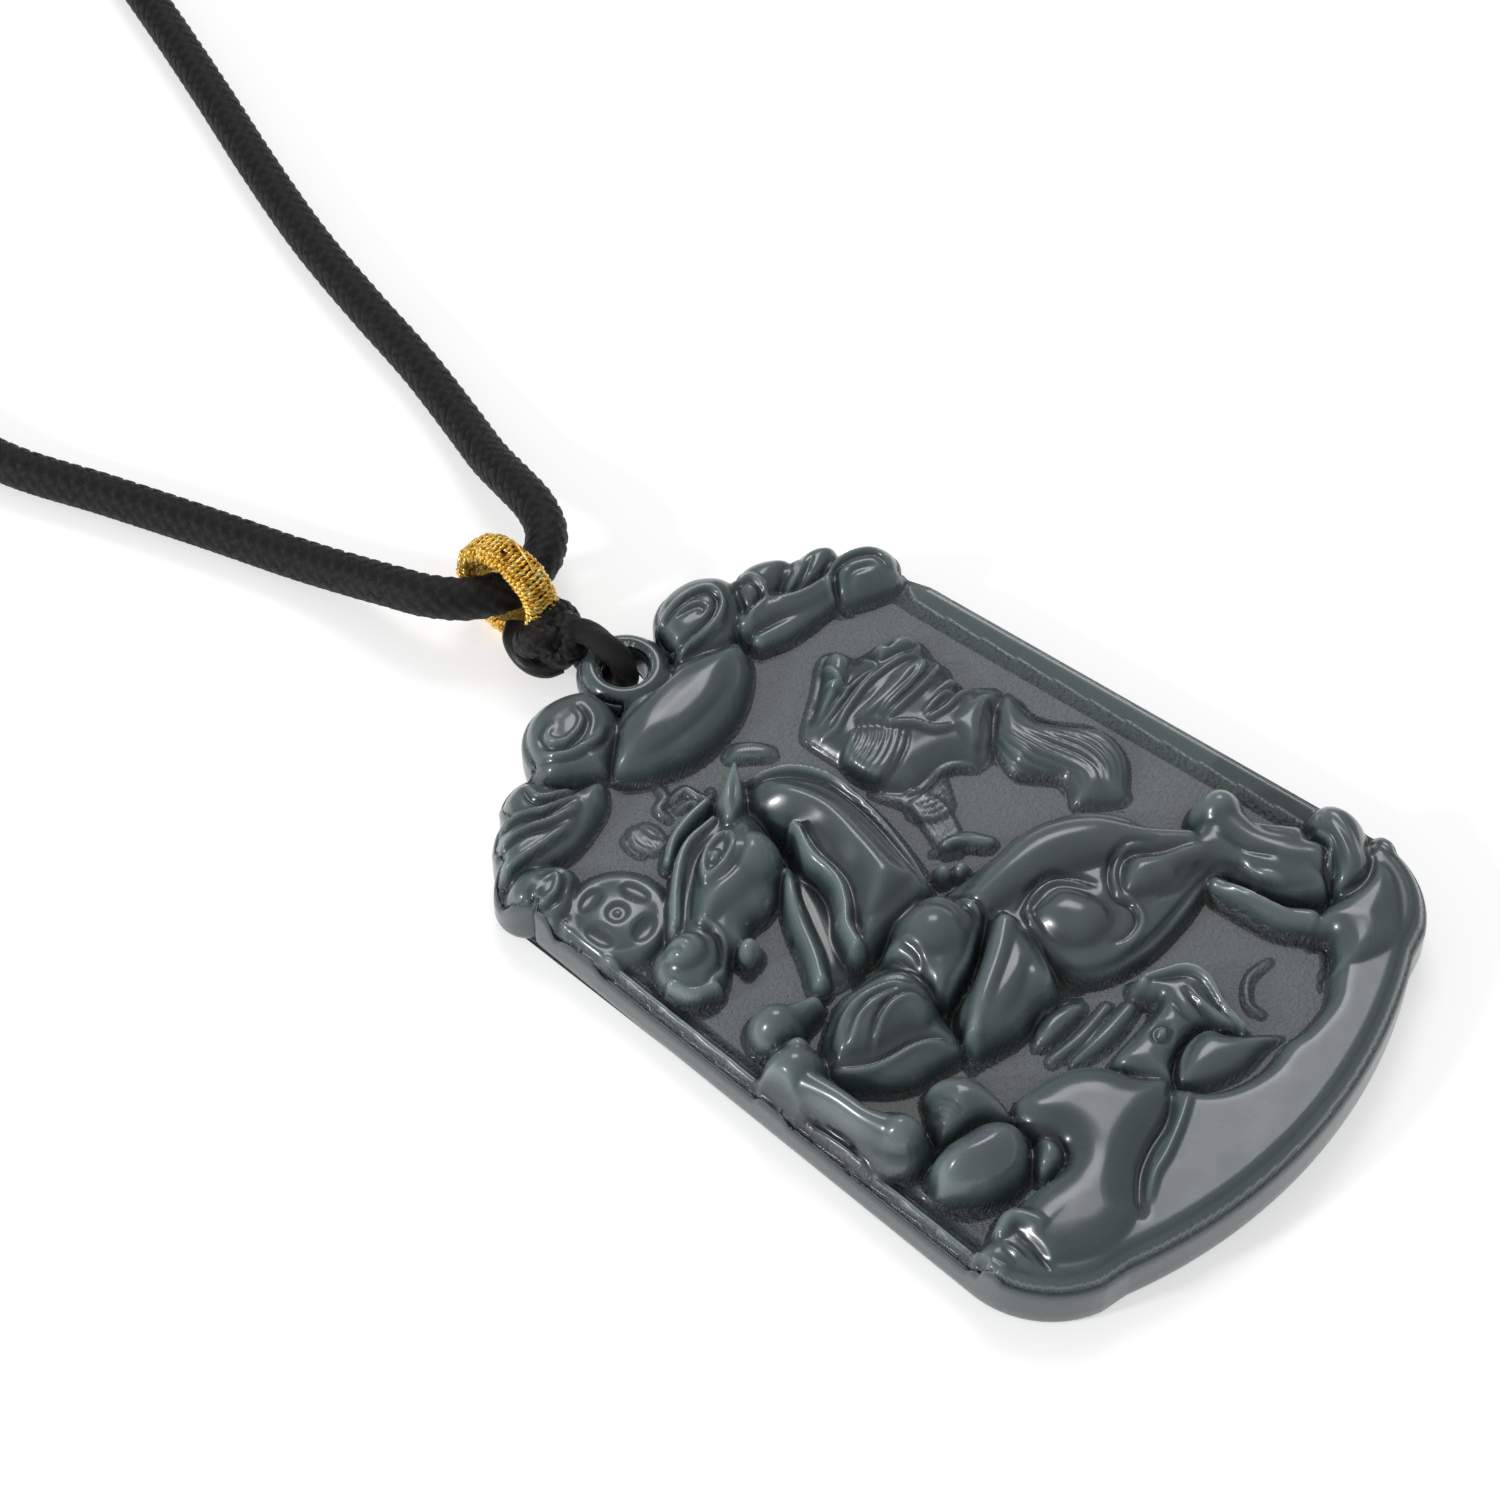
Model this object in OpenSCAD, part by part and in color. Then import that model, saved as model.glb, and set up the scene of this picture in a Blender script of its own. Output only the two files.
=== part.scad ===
// Carved jade pendant plaque on a black neck cord, lying face up.
// The origin is the middle of the plaque's flat back; +Y points to its hanging hole, +Z to its
// carved face. Everything is in millimetres.

/* [Plaque] */
// Length of the stone from the bottom arc to the tip of the boss
plaque_len = 60; // [56:1:64]
// Thickness of the stone at the sunk ground of the carving
ground_t = 2.8; // [2.4:0.1:3.0]
// Height of the raised rim above the back
rim_h = 4; // [3.6:0.1:4.4]
// Height of the tallest part of the carving above the back
relief_h = 7; // [6.6:0.1:7.6]
// Diameter of the hanging hole
hole_d = 3; // [2.8:0.1:3.2]

/* [Hanger] */
// Thickness of the thin cord that runs through the hole
loop_cord_d = 1.6; // [1.3:0.1:1.6]
// Width of the wrapped knot
knot_w = 5.2; // [4.6:0.1:5.4]
// Outer diameter of the gold-wound ring
ring_d = 8; // [7.8:0.1:8.2]
// Diameter of the opening in the gold-wound ring
ring_bore = 4.8; // [4.6:0.1:4.9]
// Width of the gold-wound ring across the winding
ring_w = 2.6; // [2.4:0.1:2.8]
// Thickness of the gold thread layer on the ring
winding_t = 0.4; // [0.3:0.05:0.5]

/* [Neck cord] */
// Diameter of the braided neck cord
cord_d = 3; // [2.6:0.1:3]
// Diameter of the satin strand that binds the ring to the knot
satin_d = 1.6; // [1.4:0.1:1.8]

/* [Hidden] */
$fn = 64;

jade = [0.25, 0.31, 0.32];
black = [0.08, 0.08, 0.08];
satin = [0.16, 0.14, 0.13];
gold = [0.8, 0.62, 0.24];

// The carving is laid out on a stone 60 mm long, and scaled with it.
design_len = 60;
stone = plaque_len / design_len;
// Everything beyond the hole moves with the end of the stone.
end_shift = (plaque_len - design_len) / 2;

// Outline of the stone: its half width grows from side_top_x at side_top_y towards the bottom.
side_top_y = 18;
side_top_x = 19;
side_taper = 0.055;
bottom_r = 37.3;
bottom_y = -30;
corner_r = 7;
corner_y = -20;
rim_w = 2.6;

// Centre of the hole and the ring-shaped boss around it.
hole_y = 26.8;
boss_r = 3.3;
boss_z = 3.35;
boss_half_t = 1.4;
// The thin cord loops round the boss's outer wall, in the plane X = 0.
loop_y = 29.2 + end_shift;
loop_r = 2.5;
// A scoop in the back leaves room for the cord under the boss.
scoop_y = 30.5;
scoop_z = -5;
scoop_r = 7;

// Ring and knot, beyond the boss.
ring_x = -0.2;
ring_y = 37.2 + end_shift;
ring_z = 4.05;
knot_x = -1;
knot_y = 33.3 + end_shift;
knot_z = 2.9;
knot_r = 2.3;
running_gap = 0.3;

// The scroll lobes along the top edge: centre and radius, mirrored to the other side.
lobes = [
    [6.6, 24.9, 3.9],
    [11.9, 23.3, 3],
    [15.4, 21.9, 2.1],
    [17.3, 19.8, 2.3],
];

// Heights of the carving's levels above the back; each starts a little inside the one below.
step_1 = rim_h;
step_2 = rim_h + 1.2;
step_3 = relief_h - 0.8;
sunk = 0.1;

// Neck cord: where it lies from the coil, along one arm, through the ring and back.
cord_z = cord_d / 2;
arm_route = [
    [5.2, 108.5, cord_z],
    [-2.5, 103.5, cord_z],
    [-9, 97, cord_z],
    [-13, 89, cord_z],
    [-14, 81, cord_z],
    [-13.2, 73.5, cord_z],
    [-10.7, 66, cord_z],
    [-8.3, 58.5, cord_z],
    [-6.5, 52, 1.7],
    [-5.5, 47.5, 2.4],
    [-4.9, 44, 3.3],
    [-4.2, 41, 3.9],
    [-2.7, 38.6, ring_z],
    [-0.6, 37.2, ring_z],
    [1.2, 36.9, ring_z],
    [3.4, 37.3, ring_z],
    [5.3, 38.7, ring_z],
    [6.6, 41, 3.9],
    [7.6, 44, 3.3],
    [8.8, 47.5, 2.4],
    [10.6, 52, 1.7],
    [12.6, 58, cord_z],
    [14.4, 65, cord_z],
    [16.7, 73, cord_z],
    [19.8, 81.5, cord_z],
    [23.4, 90.5, cord_z],
    [27.2, 100.5, cord_z],
    [30, 109, cord_z],
    [30.5, 118, cord_z],
    [27, 127.5, cord_z],
    [20.5, 135.5, cord_z],
    [12.3, 143.4, cord_z],
];
coil_at = [-6, 128];
coil_outer_r = 25.4;
coil_inner_r = 11;
closing_at = [3.5, 124.2];
closing_angle = 68;
closing_len = 7.6;
closing_d = 5.4;

function unit(v) = v / norm(v);
function tangent(route, i) =
    unit(route[min(i + 1, len(route) - 1)] - route[max(i - 1, 0)]);
function ring_of(route, i, d, sides) =
    let (
        along = tangent(route, i),
        across = unit(cross([0, 0, 1], along)),
        up = cross(along, across)
    )
    [for (k = [0 : sides - 1])
        let (turn = (k + 0.5) * 360 / sides)
        route[i] + d / 2 * (cos(turn) * across + sin(turn) * up)];

// A tube of diameter d along the points of a route that is never vertical.
module tube(route, d, sides = 8) {
    rings = len(route);
    points = [for (i = [0 : rings - 1]) each ring_of(route, i, d, sides)];
    walls = [for (i = [0 : rings - 2]) for (k = [0 : sides - 1])
        let (a = i * sides + k, b = i * sides + (k + 1) % sides)
        [a, a + sides, b + sides, b]];
    start = [for (k = [0 : sides - 1]) k];
    end = [for (k = [sides - 1 : -1 : 0]) (rings - 1) * sides + k];
    polyhedron(points, concat([start, end], walls));
}

// A ring whose cross-section is a slot: thick radially, wide along its axis, with round corners.
module slot_ring(mean_r, thick, wide) {
    rotate_extrude()
        translate([mean_r, 0]) {
            square([thick, wide - thick], center = true);
            for (end = [-1, 1])
                translate([0, end * (wide - thick) / 2])
                    circle(d = thick);
        }
}

// Turns an axis that points along Z to point along X.
module along_x() {
    rotate([0, 90, 0])
        children();
}

// Half width of the stone at a height y, with its edge moved in by inset.
function side_x(y, inset) = side_top_x + side_taper * (side_top_y - y) - inset;

// The bottom of the outline: an arc between two round corners.
module bottom_outline(inset) {
    corner_x = side_x(corner_y, inset) - corner_r;
    arc_y = bottom_y + bottom_r;
    intersection() {
        translate([0, arc_y])
            circle(r = bottom_r - inset, $fn = 180);
        translate([-side_x(corner_y, inset), bottom_y])
            square([2 * side_x(corner_y, inset), corner_y - bottom_y]);
        union() {
            for (side = [-1, 1])
                translate([side * corner_x, corner_y])
                    circle(r = corner_r);
            translate([-corner_x, bottom_y])
                square([2 * corner_x, corner_y - bottom_y]);
        }
    }
}

// The whole slab of the stone below the scrolls.
module slab_outline(inset) {
    polygon([
        [-side_x(corner_y, inset), corner_y],
        [side_x(corner_y, inset), corner_y],
        [side_x(side_top_y, inset), side_top_y],
        [-side_x(side_top_y, inset), side_top_y],
    ]);
    bottom_outline(inset);
}

module scroll_outline() {
    for (side = [-1, 1])
        for (lobe = lobes)
            translate([side * lobe[0], lobe[1]])
                circle(r = lobe[2]);
    polygon([[-18.9, 17.5], [18.9, 17.5], [15, 22], [6, 26], [-6, 26], [-15, 22]]);
}

// One level of the carving, from bottom to top, clear of the boss.
module level(bottom, top) {
    translate([0, 0, bottom])
        linear_extrude(top - bottom)
            difference() {
                children();
                translate([0, hole_y])
                    circle(r = boss_r - 0.4);
            }
}

module coin_outline() {
    petal_r = 0.8;
    translate([-15.8, 13.6])
        difference() {
            circle(r = 3.3);
            circle(r = petal_r);
            for (turn = [45 : 90 : 315])
                rotate(turn)
                    translate([2, 0])
                        circle(r = petal_r);
        }
}

// Every lobe of the scrolls, drawn at a fraction of its size.
module lobe_circles(share) {
    for (side = [-1, 1])
        for (lobe = lobes)
            translate([side * lobe[0], lobe[1]])
                circle(r = share * lobe[2]);
}

module spindle_outline() {
    polygon([[-5.6, 23.6], [0, 24.2], [5.6, 23.6], [3.6, 21], [0, 20], [-3.6, 21]]);
}

// Head, neck and chest of the galloping horse
module horse_front() {
    polygon([
        [-16, 7.6], [-14, 10.4], [-8.5, 13.2], [-4, 15.6], [-2, 15.4], [0.6, 13.6], [2.2, 10.2],
        [2.2, 6], [0.4, 1.6], [-1, -0.6], [0.6, -4], [-2, -8], [-8, -10], [-10, -5], [-9.6, -0.4],
        [-7.6, 3.6], [-5.4, 8.6], [-9, 7.2], [-12.4, 4.8], [-15.4, 5.6],
    ]);
}

// Its raised foreleg with the hoof
module horse_foreleg() {
    polygon([
        [-7.6, -0.6], [-13, -0.8], [-17, 2.4], [-18.8, 0.6], [-18.2, -3.4], [-17.4, -9],
        [-17.6, -15], [-14, -17.6], [-11, -15.6], [-10.4, -11], [-14, -9], [-14.4, -4.4],
        [-8, -7.4],
    ]);
}

// Its barrel, rump and both hind legs, which reach out over the rim
module horse_hind() {
    polygon([
        [0.4, -1], [5, -2.6], [8.6, -3.6], [11.2, -6.4], [12.8, -9.6], [15.6, -9.2], [17.2, -11.6],
        [18.2, -15], [20.4, -15.6], [21, -18], [20.2, -20.6], [16, -20.6], [13, -18.4],
        [11.6, -14.4], [6, -14.4], [0, -12.6], [-2, -9],
    ]);
}

// The tallest masses: cheek and neck, chest, rump and hoof
module horse_masses() {
    polygon([[-9.4, 8.4], [-3.4, 12.6], [-1.6, 14], [0.8, 10], [0.6, 5], [-2, 1.6], [-4, 7.4]]);
    polygon([[1, -4], [7, -4.4], [10, -7.4], [9.6, -11.4], [4, -12.4], [0, -8.6]]);
    polygon([[-17, -11], [-13, -9.8], [-11.4, -12.4], [-12.6, -15.8], [-15.8, -16.4]]);
    horse_chest();
}

module horse_chest() {
    polygon([[-5.4, -0.4], [-1.6, 0.4], [-0.4, -2.6], [-2.6, -5.2], [-6, -4.4], [-7, -2]]);
}

// The horse behind, its tail, the third horse's head and the rocks
module companions() {
    polygon([
        [2.8, 12.4], [5.4, 15], [8.4, 17], [10, 16.6], [13.6, 13.6], [14.4, 9.6], [11, 6.4],
        [6, 6.6], [3.2, 8.4],
    ]);
    polygon([
        [13.4, 6], [15.4, 3.6], [16.2, -0.6], [14.6, -4], [10.8, -3.4], [9.4, 0], [9, 2.6],
    ]);
    polygon([
        [-5.4, -17.8], [-3, -13.8], [3.4, -14.6], [5.6, -16.6], [10.4, -20], [9.6, -22.8],
        [3, -23], [-2, -21.6],
    ]);
    polygon([[-11.4, -16], [-8, -14.4], [-4.4, -16.6], [-3.6, -19], [-9.6, -21], [-15, -20.6]]);
}

module boss() {
    wall = boss_r - hole_d / 2 / stone;
    translate([0, hole_y, boss_z])
        rotate_extrude()
            translate([boss_r - wall / 2, 0]) {
                square([wall, 2 * boss_half_t - wall], center = true);
                for (end = [-1, 1])
                    translate([0, end * (boss_half_t - wall / 2)])
                        circle(d = wall);
            }
}

module jade_plaque() {
    color(jade)
        scale(stone) {
            difference() {
                level(0, ground_t) {
                    slab_outline(0);
                    scroll_outline();
                }
                translate([0, scoop_y, scoop_z])
                    along_x()
                        cylinder(r = scoop_r, h = 60, center = true, $fn = 120);
            }
            level(ground_t - sunk, step_1) {
                difference() {
                    slab_outline(0);
                    slab_outline(rim_w);
                }
                lobe_circles(1);
                spindle_outline();
                coin_outline();
                companions();
                horse_front();
                horse_foreleg();
                horse_hind();
            }
            level(step_1 - sunk, step_2) {
                lobe_circles(0.5);
                horse_front();
                horse_foreleg();
                horse_hind();
            }
            level(step_2 - sunk, step_3)
                horse_masses();
            level(step_3 - sunk, relief_h)
                horse_chest();
            boss();
        }
}

module hanger_loop() {
    color(black)
        translate([0, loop_y, boss_z])
            along_x()
                rotate_extrude()
                    translate([loop_r, 0])
                        circle(d = loop_cord_d);
}

module hanger_knot() {
    edge = 0.8;
    color(black)
        difference() {
            translate([knot_x, knot_y, knot_z])
                along_x()
                    rotate_extrude() {
                        translate([0, -knot_w / 2 + edge])
                            square([knot_r, knot_w - 2 * edge]);
                        translate([0, -knot_w / 2])
                            square([knot_r - edge, knot_w]);
                        for (end = [-1, 1])
                            translate([knot_r - edge, end * (knot_w / 2 - edge)])
                                circle(r = edge);
                    }
            // The tunnel that the loop runs through
            translate([0, loop_y, boss_z])
                along_x()
                    rotate_extrude()
                        translate([loop_r, 0])
                            circle(d = loop_cord_d + 2 * running_gap);
            // The seat of the ring
            translate([ring_x, ring_y, ring_z])
                along_x()
                    cylinder(d = ring_d, h = ring_w, center = true);
        }
}

// A satin strand that runs from the foot of the ring to the lower edge of the knot.
module satin_strand() {
    x = knot_x - knot_w / 2 - satin_d / 2 + 0.1;
    route = [
        [ring_x - ring_w / 2 - 0.6, ring_y - 2.3, 1.7],
        [ring_x - ring_w / 2 - 1.5, ring_y - 2.5, 1.6],
        [x + 0.1, ring_y - 3.2, 1.6],
        [x, ring_y - 4.3, 1.6],
        [x + 0.4, ring_y - 5.4, 1.5],
    ];
    color(satin)
        tube(route, satin_d, 12);
}

module ring_core() {
    thick = (ring_d - ring_bore) / 2;
    color(black)
        translate([ring_x, ring_y, ring_z])
            along_x()
                slot_ring((ring_d + ring_bore) / 4, thick - 2 * winding_t, ring_w - 2 * winding_t);
}

module gold_winding() {
    thick = (ring_d - ring_bore) / 2;
    mean_r = (ring_d + ring_bore) / 4;
    color(gold)
        translate([ring_x, ring_y, ring_z])
            along_x()
                difference() {
                    slot_ring(mean_r, thick, ring_w);
                    slot_ring(mean_r, thick - 2 * winding_t, ring_w - 2 * winding_t);
                }
}

module neck_cord() {
    color(black)
        translate([0, end_shift, 0])
            tube(arm_route, cord_d);
}

module neck_coil() {
    color(black)
        translate([coil_at[0], coil_at[1] + end_shift, cord_z])
            rotate_extrude($fn = 96) {
                translate([coil_inner_r + cord_z, -cord_z])
                    square([coil_outer_r - coil_inner_r - cord_d, cord_d]);
                for (r = [coil_inner_r + cord_z, coil_outer_r - cord_z])
                    translate([r, 0])
                        circle(d = cord_d);
            }
}

module closing_knot() {
    color(black)
        translate([closing_at[0], closing_at[1] + end_shift, closing_d / 2])
            rotate([90, 0, closing_angle - 90])
                rotate_extrude() {
                    translate([0, -closing_len / 2 + 1])
                        square([closing_d / 2, closing_len - 2]);
                    translate([0, -closing_len / 2])
                        square([closing_d / 2 - 1, closing_len]);
                    for (end = [-1, 1])
                        translate([closing_d / 2 - 1, end * (closing_len / 2 - 1)])
                            circle(r = 1);
                }
}

jade_plaque();
hanger_loop();
hanger_knot();
satin_strand();
ring_core();
gold_winding();
neck_cord();
neck_coil();
closing_knot();
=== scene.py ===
"""Looks of the carved jade pendant on its neck cord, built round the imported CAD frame.

Everything is in metres in the CAD frame: the plaque's flat back lies on z = 0, +Y points to its
hanging hole and +Z out of its carved face. The carving is laid out in millimetres and scaled once.
"""

import math

import bpy
import numpy as np
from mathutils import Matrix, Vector, geometry


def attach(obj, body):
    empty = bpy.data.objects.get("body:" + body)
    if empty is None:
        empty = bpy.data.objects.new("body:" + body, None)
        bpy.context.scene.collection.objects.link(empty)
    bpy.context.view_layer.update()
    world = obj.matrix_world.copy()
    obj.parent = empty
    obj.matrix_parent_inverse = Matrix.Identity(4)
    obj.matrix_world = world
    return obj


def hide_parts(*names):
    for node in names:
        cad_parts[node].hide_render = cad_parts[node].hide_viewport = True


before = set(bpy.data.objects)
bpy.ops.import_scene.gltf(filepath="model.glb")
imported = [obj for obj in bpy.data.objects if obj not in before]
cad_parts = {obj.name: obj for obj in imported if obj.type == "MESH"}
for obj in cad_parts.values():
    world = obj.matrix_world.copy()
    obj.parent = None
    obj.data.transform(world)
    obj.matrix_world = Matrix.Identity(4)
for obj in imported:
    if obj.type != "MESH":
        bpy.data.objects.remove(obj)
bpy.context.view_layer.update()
MM = 0.001
RNG = np.random.default_rng(7)

# ---------------------------------------------------------------- camera and neck cord route

CAMERA_AT = (-0.11504, -0.08191, 0.19969)
CAMERA_TARGET = (0.00220, 0.01761, 0)
CAMERA_LENS = 89.95

CORD_D = 3.0
CORD_Z = CORD_D / 2
RING_AT = np.array([-0.2, 37.2, 4.05])
# The arms, from the coil round through the ring and back; the same points as in part.scad.
ARM_ROUTE = [
    (5.2, 108.5, 1.5), (-2.5, 103.5, 1.5), (-9, 97, 1.5), (-13, 89, 1.5), (-14, 81, 1.5),
    (-13.2, 73.5, 1.5), (-10.7, 66, 1.5), (-8.3, 58.5, 1.5), (-6.5, 52, 1.7), (-5.5, 47.5, 2.4),
    (-4.9, 44, 3.3), (-4.2, 41, 3.9), (-2.7, 38.6, 4.05), (-0.6, 37.2, 4.05), (1.2, 36.9, 4.05),
    (3.4, 37.3, 4.05), (5.3, 38.7, 4.05), (6.6, 41, 3.9), (7.6, 44, 3.3), (8.8, 47.5, 2.4),
    (10.6, 52, 1.7), (12.6, 58, 1.5), (14.4, 65, 1.5), (16.7, 73, 1.5), (19.8, 81.5, 1.5),
    (23.4, 90.5, 1.5), (27.2, 100.5, 1.5), (30, 109, 1.5), (30.5, 118, 1.5), (27, 127.5, 1.5),
    (20.5, 135.5, 1.5), (12.3, 143.4, 1.5),
]
COIL_AT = (-6.0, 128.0)
COIL_R = 22.5
COIL_PITCH = 6.2
COIL_START = -60
COIL_LATE_START = 40
COIL_END = 640
KNOT_AT = (3.5, 124.2)
KNOT_TURN = math.radians(68)
KNOT_LENGTH = 7.6


def catmull(points, per=8, closed=False):
    """A smooth line through given points, each with any number of columns."""
    pts = np.array(points, float)
    n = len(pts)
    t = np.arange(per)[:, None] / per
    out = []
    for i in range(n if closed else n - 1):
        p1, p2 = pts[i], pts[(i + 1) % n]
        p0 = pts[i - 1] if closed or i > 0 else 2 * p1 - p2
        p3 = pts[(i + 2) % n] if closed or i + 2 < n else 2 * p2 - p1
        bend = 2 * p0 - 5 * p1 + 4 * p2 - p3
        out.append(0.5 * (2 * p1 + (p2 - p0) * t + bend * t**2 + (3 * p1 - p0 - 3 * p2 + p3) * t**3))
    if not closed:
        out.append(pts[-1:])
    return np.vstack(out)


def even(points, step):
    """The same line with its points a fixed step apart."""
    pts = np.array(points, float)
    along = np.concatenate([[0], np.cumsum(np.linalg.norm(np.diff(pts[:, :3], axis=0), axis=1))])
    count = max(2, int(round(along[-1] / step)) + 1)
    at = np.linspace(0, along[-1], count)
    return np.column_stack([np.interp(at, along, pts[:, i]) for i in range(pts.shape[1])])


def spiral(start, lead, per_turn=36):
    """One of the coil's two spirals, from an angle in degrees inwards."""
    count = int(abs(COIL_END - start) / 360 * per_turn) + 1
    angle = np.linspace(start, COIL_END, count)
    r = COIL_R + lead - COIL_PITCH * (angle - COIL_START) / 360
    a = np.radians(angle)
    flat = np.full(count, CORD_Z)
    return np.column_stack([COIL_AT[0] + r * np.cos(a), COIL_AT[1] + r * np.sin(a), flat])


def cord_route():
    """The whole neck cord: knot, first spiral, both arms, second spiral, knot."""
    along = np.array([math.cos(KNOT_TURN), math.sin(KNOT_TURN), 0])
    across = np.array([-along[1], along[0], 0])
    knot = np.array([KNOT_AT[0], KNOT_AT[1], CORD_Z])
    apart, back, cut = 0.8, 0.35, 6
    ends = []
    for side, inner, outer in ((1, (-1.2, 118.8), (0.6, 121.0)), (-1, (0.5, 116.5), (3.3, 119.8))):
        last = knot + across * side * apart - along * KNOT_LENGTH * back
        ends.append([last, (*outer, CORD_Z), (*inner, CORD_Z)])
    first = spiral(COIL_START, 0)[::-1]
    second = spiral(COIL_LATE_START, COIL_PITCH / 2)
    arms = catmull(ARM_ROUTE, 10)
    parts = [catmull([*ends[0], first[cut]], 8)[:-1], first[cut:-1], arms[:-1], second[:-cut]]
    parts.append(catmull([second[-cut], *ends[1][::-1]], 8))
    return np.vstack(parts)


def make_camera():
    """The camera that took the photograph."""
    data = bpy.data.cameras.new("camera")
    camera = bpy.data.objects.new("camera", data)
    bpy.context.collection.objects.link(camera)
    camera.location = CAMERA_AT
    look = Vector(CAMERA_TARGET) - Vector(CAMERA_AT)
    camera.rotation_euler = look.to_track_quat("-Z", "Y").to_euler()
    data.lens = CAMERA_LENS
    data.sensor_width = 36
    data.clip_start = 0.01
    data.clip_end = 5
    bpy.context.scene.camera = camera


# ---------------------------------------------------------------- mesh helpers


def add_mesh(name, verts, faces, body, replaces):
    """A new smooth-shaded piece from vertices in millimetres."""
    mesh = bpy.data.meshes.new(name)
    mesh.from_pydata((np.asarray(verts, float) * MM).tolist(), [], [list(f) for f in faces])
    mesh.validate()
    mesh.polygons.foreach_set("use_smooth", [True] * len(mesh.polygons))
    obj = bpy.data.objects.new(name, mesh)
    bpy.context.collection.objects.link(obj)
    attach(obj, body)
    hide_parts(*replaces)
    return obj


def store(obj, name, values):
    """One number per vertex, for a material to read."""
    layer = obj.data.attributes.new(name, "FLOAT", "POINT")
    layer.data.foreach_set("value", values)


def frames_along(path, closed=False):
    """Tangent and two cross directions that turn as little as possible along a path."""
    if closed:
        tangent = np.roll(path, -1, 0) - np.roll(path, 1, 0)
    else:
        tangent = np.gradient(path, axis=0)
    tangent /= np.linalg.norm(tangent, axis=1)[:, None]
    side = np.zeros_like(path)
    s = np.cross((0.0, 0.0, 1.0), tangent[0])
    if np.linalg.norm(s) < 0.1:
        s = np.cross((1.0, 0.0, 0.0), tangent[0])
    for i, t in enumerate(tangent):
        s = s - t * (s @ t)
        s = s / np.linalg.norm(s)
        side[i] = s
    return side, np.cross(tangent, side)


def tube_faces(n, sides, closed=False):
    """Quads between n rings of points, with a cap at each end unless the tube is closed."""
    k = np.arange(sides)
    rows = np.arange(n if closed else n - 1)[:, None]
    here = rows * sides
    there = (rows + 1) % n * sides
    beside = (k + 1) % sides
    faces = np.stack([here + k, here + beside, there + beside, there + k], -1).reshape(-1, 4).tolist()
    if not closed:
        faces.append(list(range(sides))[::-1])
        faces.append(list(range((n - 1) * sides, n * sides)))
    return faces


def tube_mesh(path, radius, sides, closed=False, shape=None):
    """Vertices, faces and (turn, length) per vertex of a tube; shape adds to the radius."""
    path = np.asarray(path, float)
    side, up = frames_along(path, closed)
    step = np.linalg.norm(np.diff(path, axis=0), axis=1)
    along = np.concatenate([[0], np.cumsum(step)])
    turn = np.arange(sides) / sides
    r = np.full((len(path), sides), float(radius))
    if shape is not None:
        r += shape(turn[None, :], along[:, None])
    a = 2 * np.pi * turn
    ring = side[:, None] * np.cos(a)[None, :, None] + up[:, None] * np.sin(a)[None, :, None]
    verts = (path[:, None] + ring * r[..., None]).reshape(-1, 3)
    place = np.stack(np.broadcast_arrays(turn[None, :], along[:, None]), -1).reshape(-1, 2)
    return verts, tube_faces(len(path), sides, closed), place


def merge(parts):
    """Several (verts, faces, ...) meshes as one."""
    verts, faces, start = [], [], 0
    for part in parts:
        verts.append(part[0])
        faces += [[i + start for i in f] for f in part[1]]
        start += len(part[0])
    return np.vstack(verts), faces


# ---------------------------------------------------------------- material helpers


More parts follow.
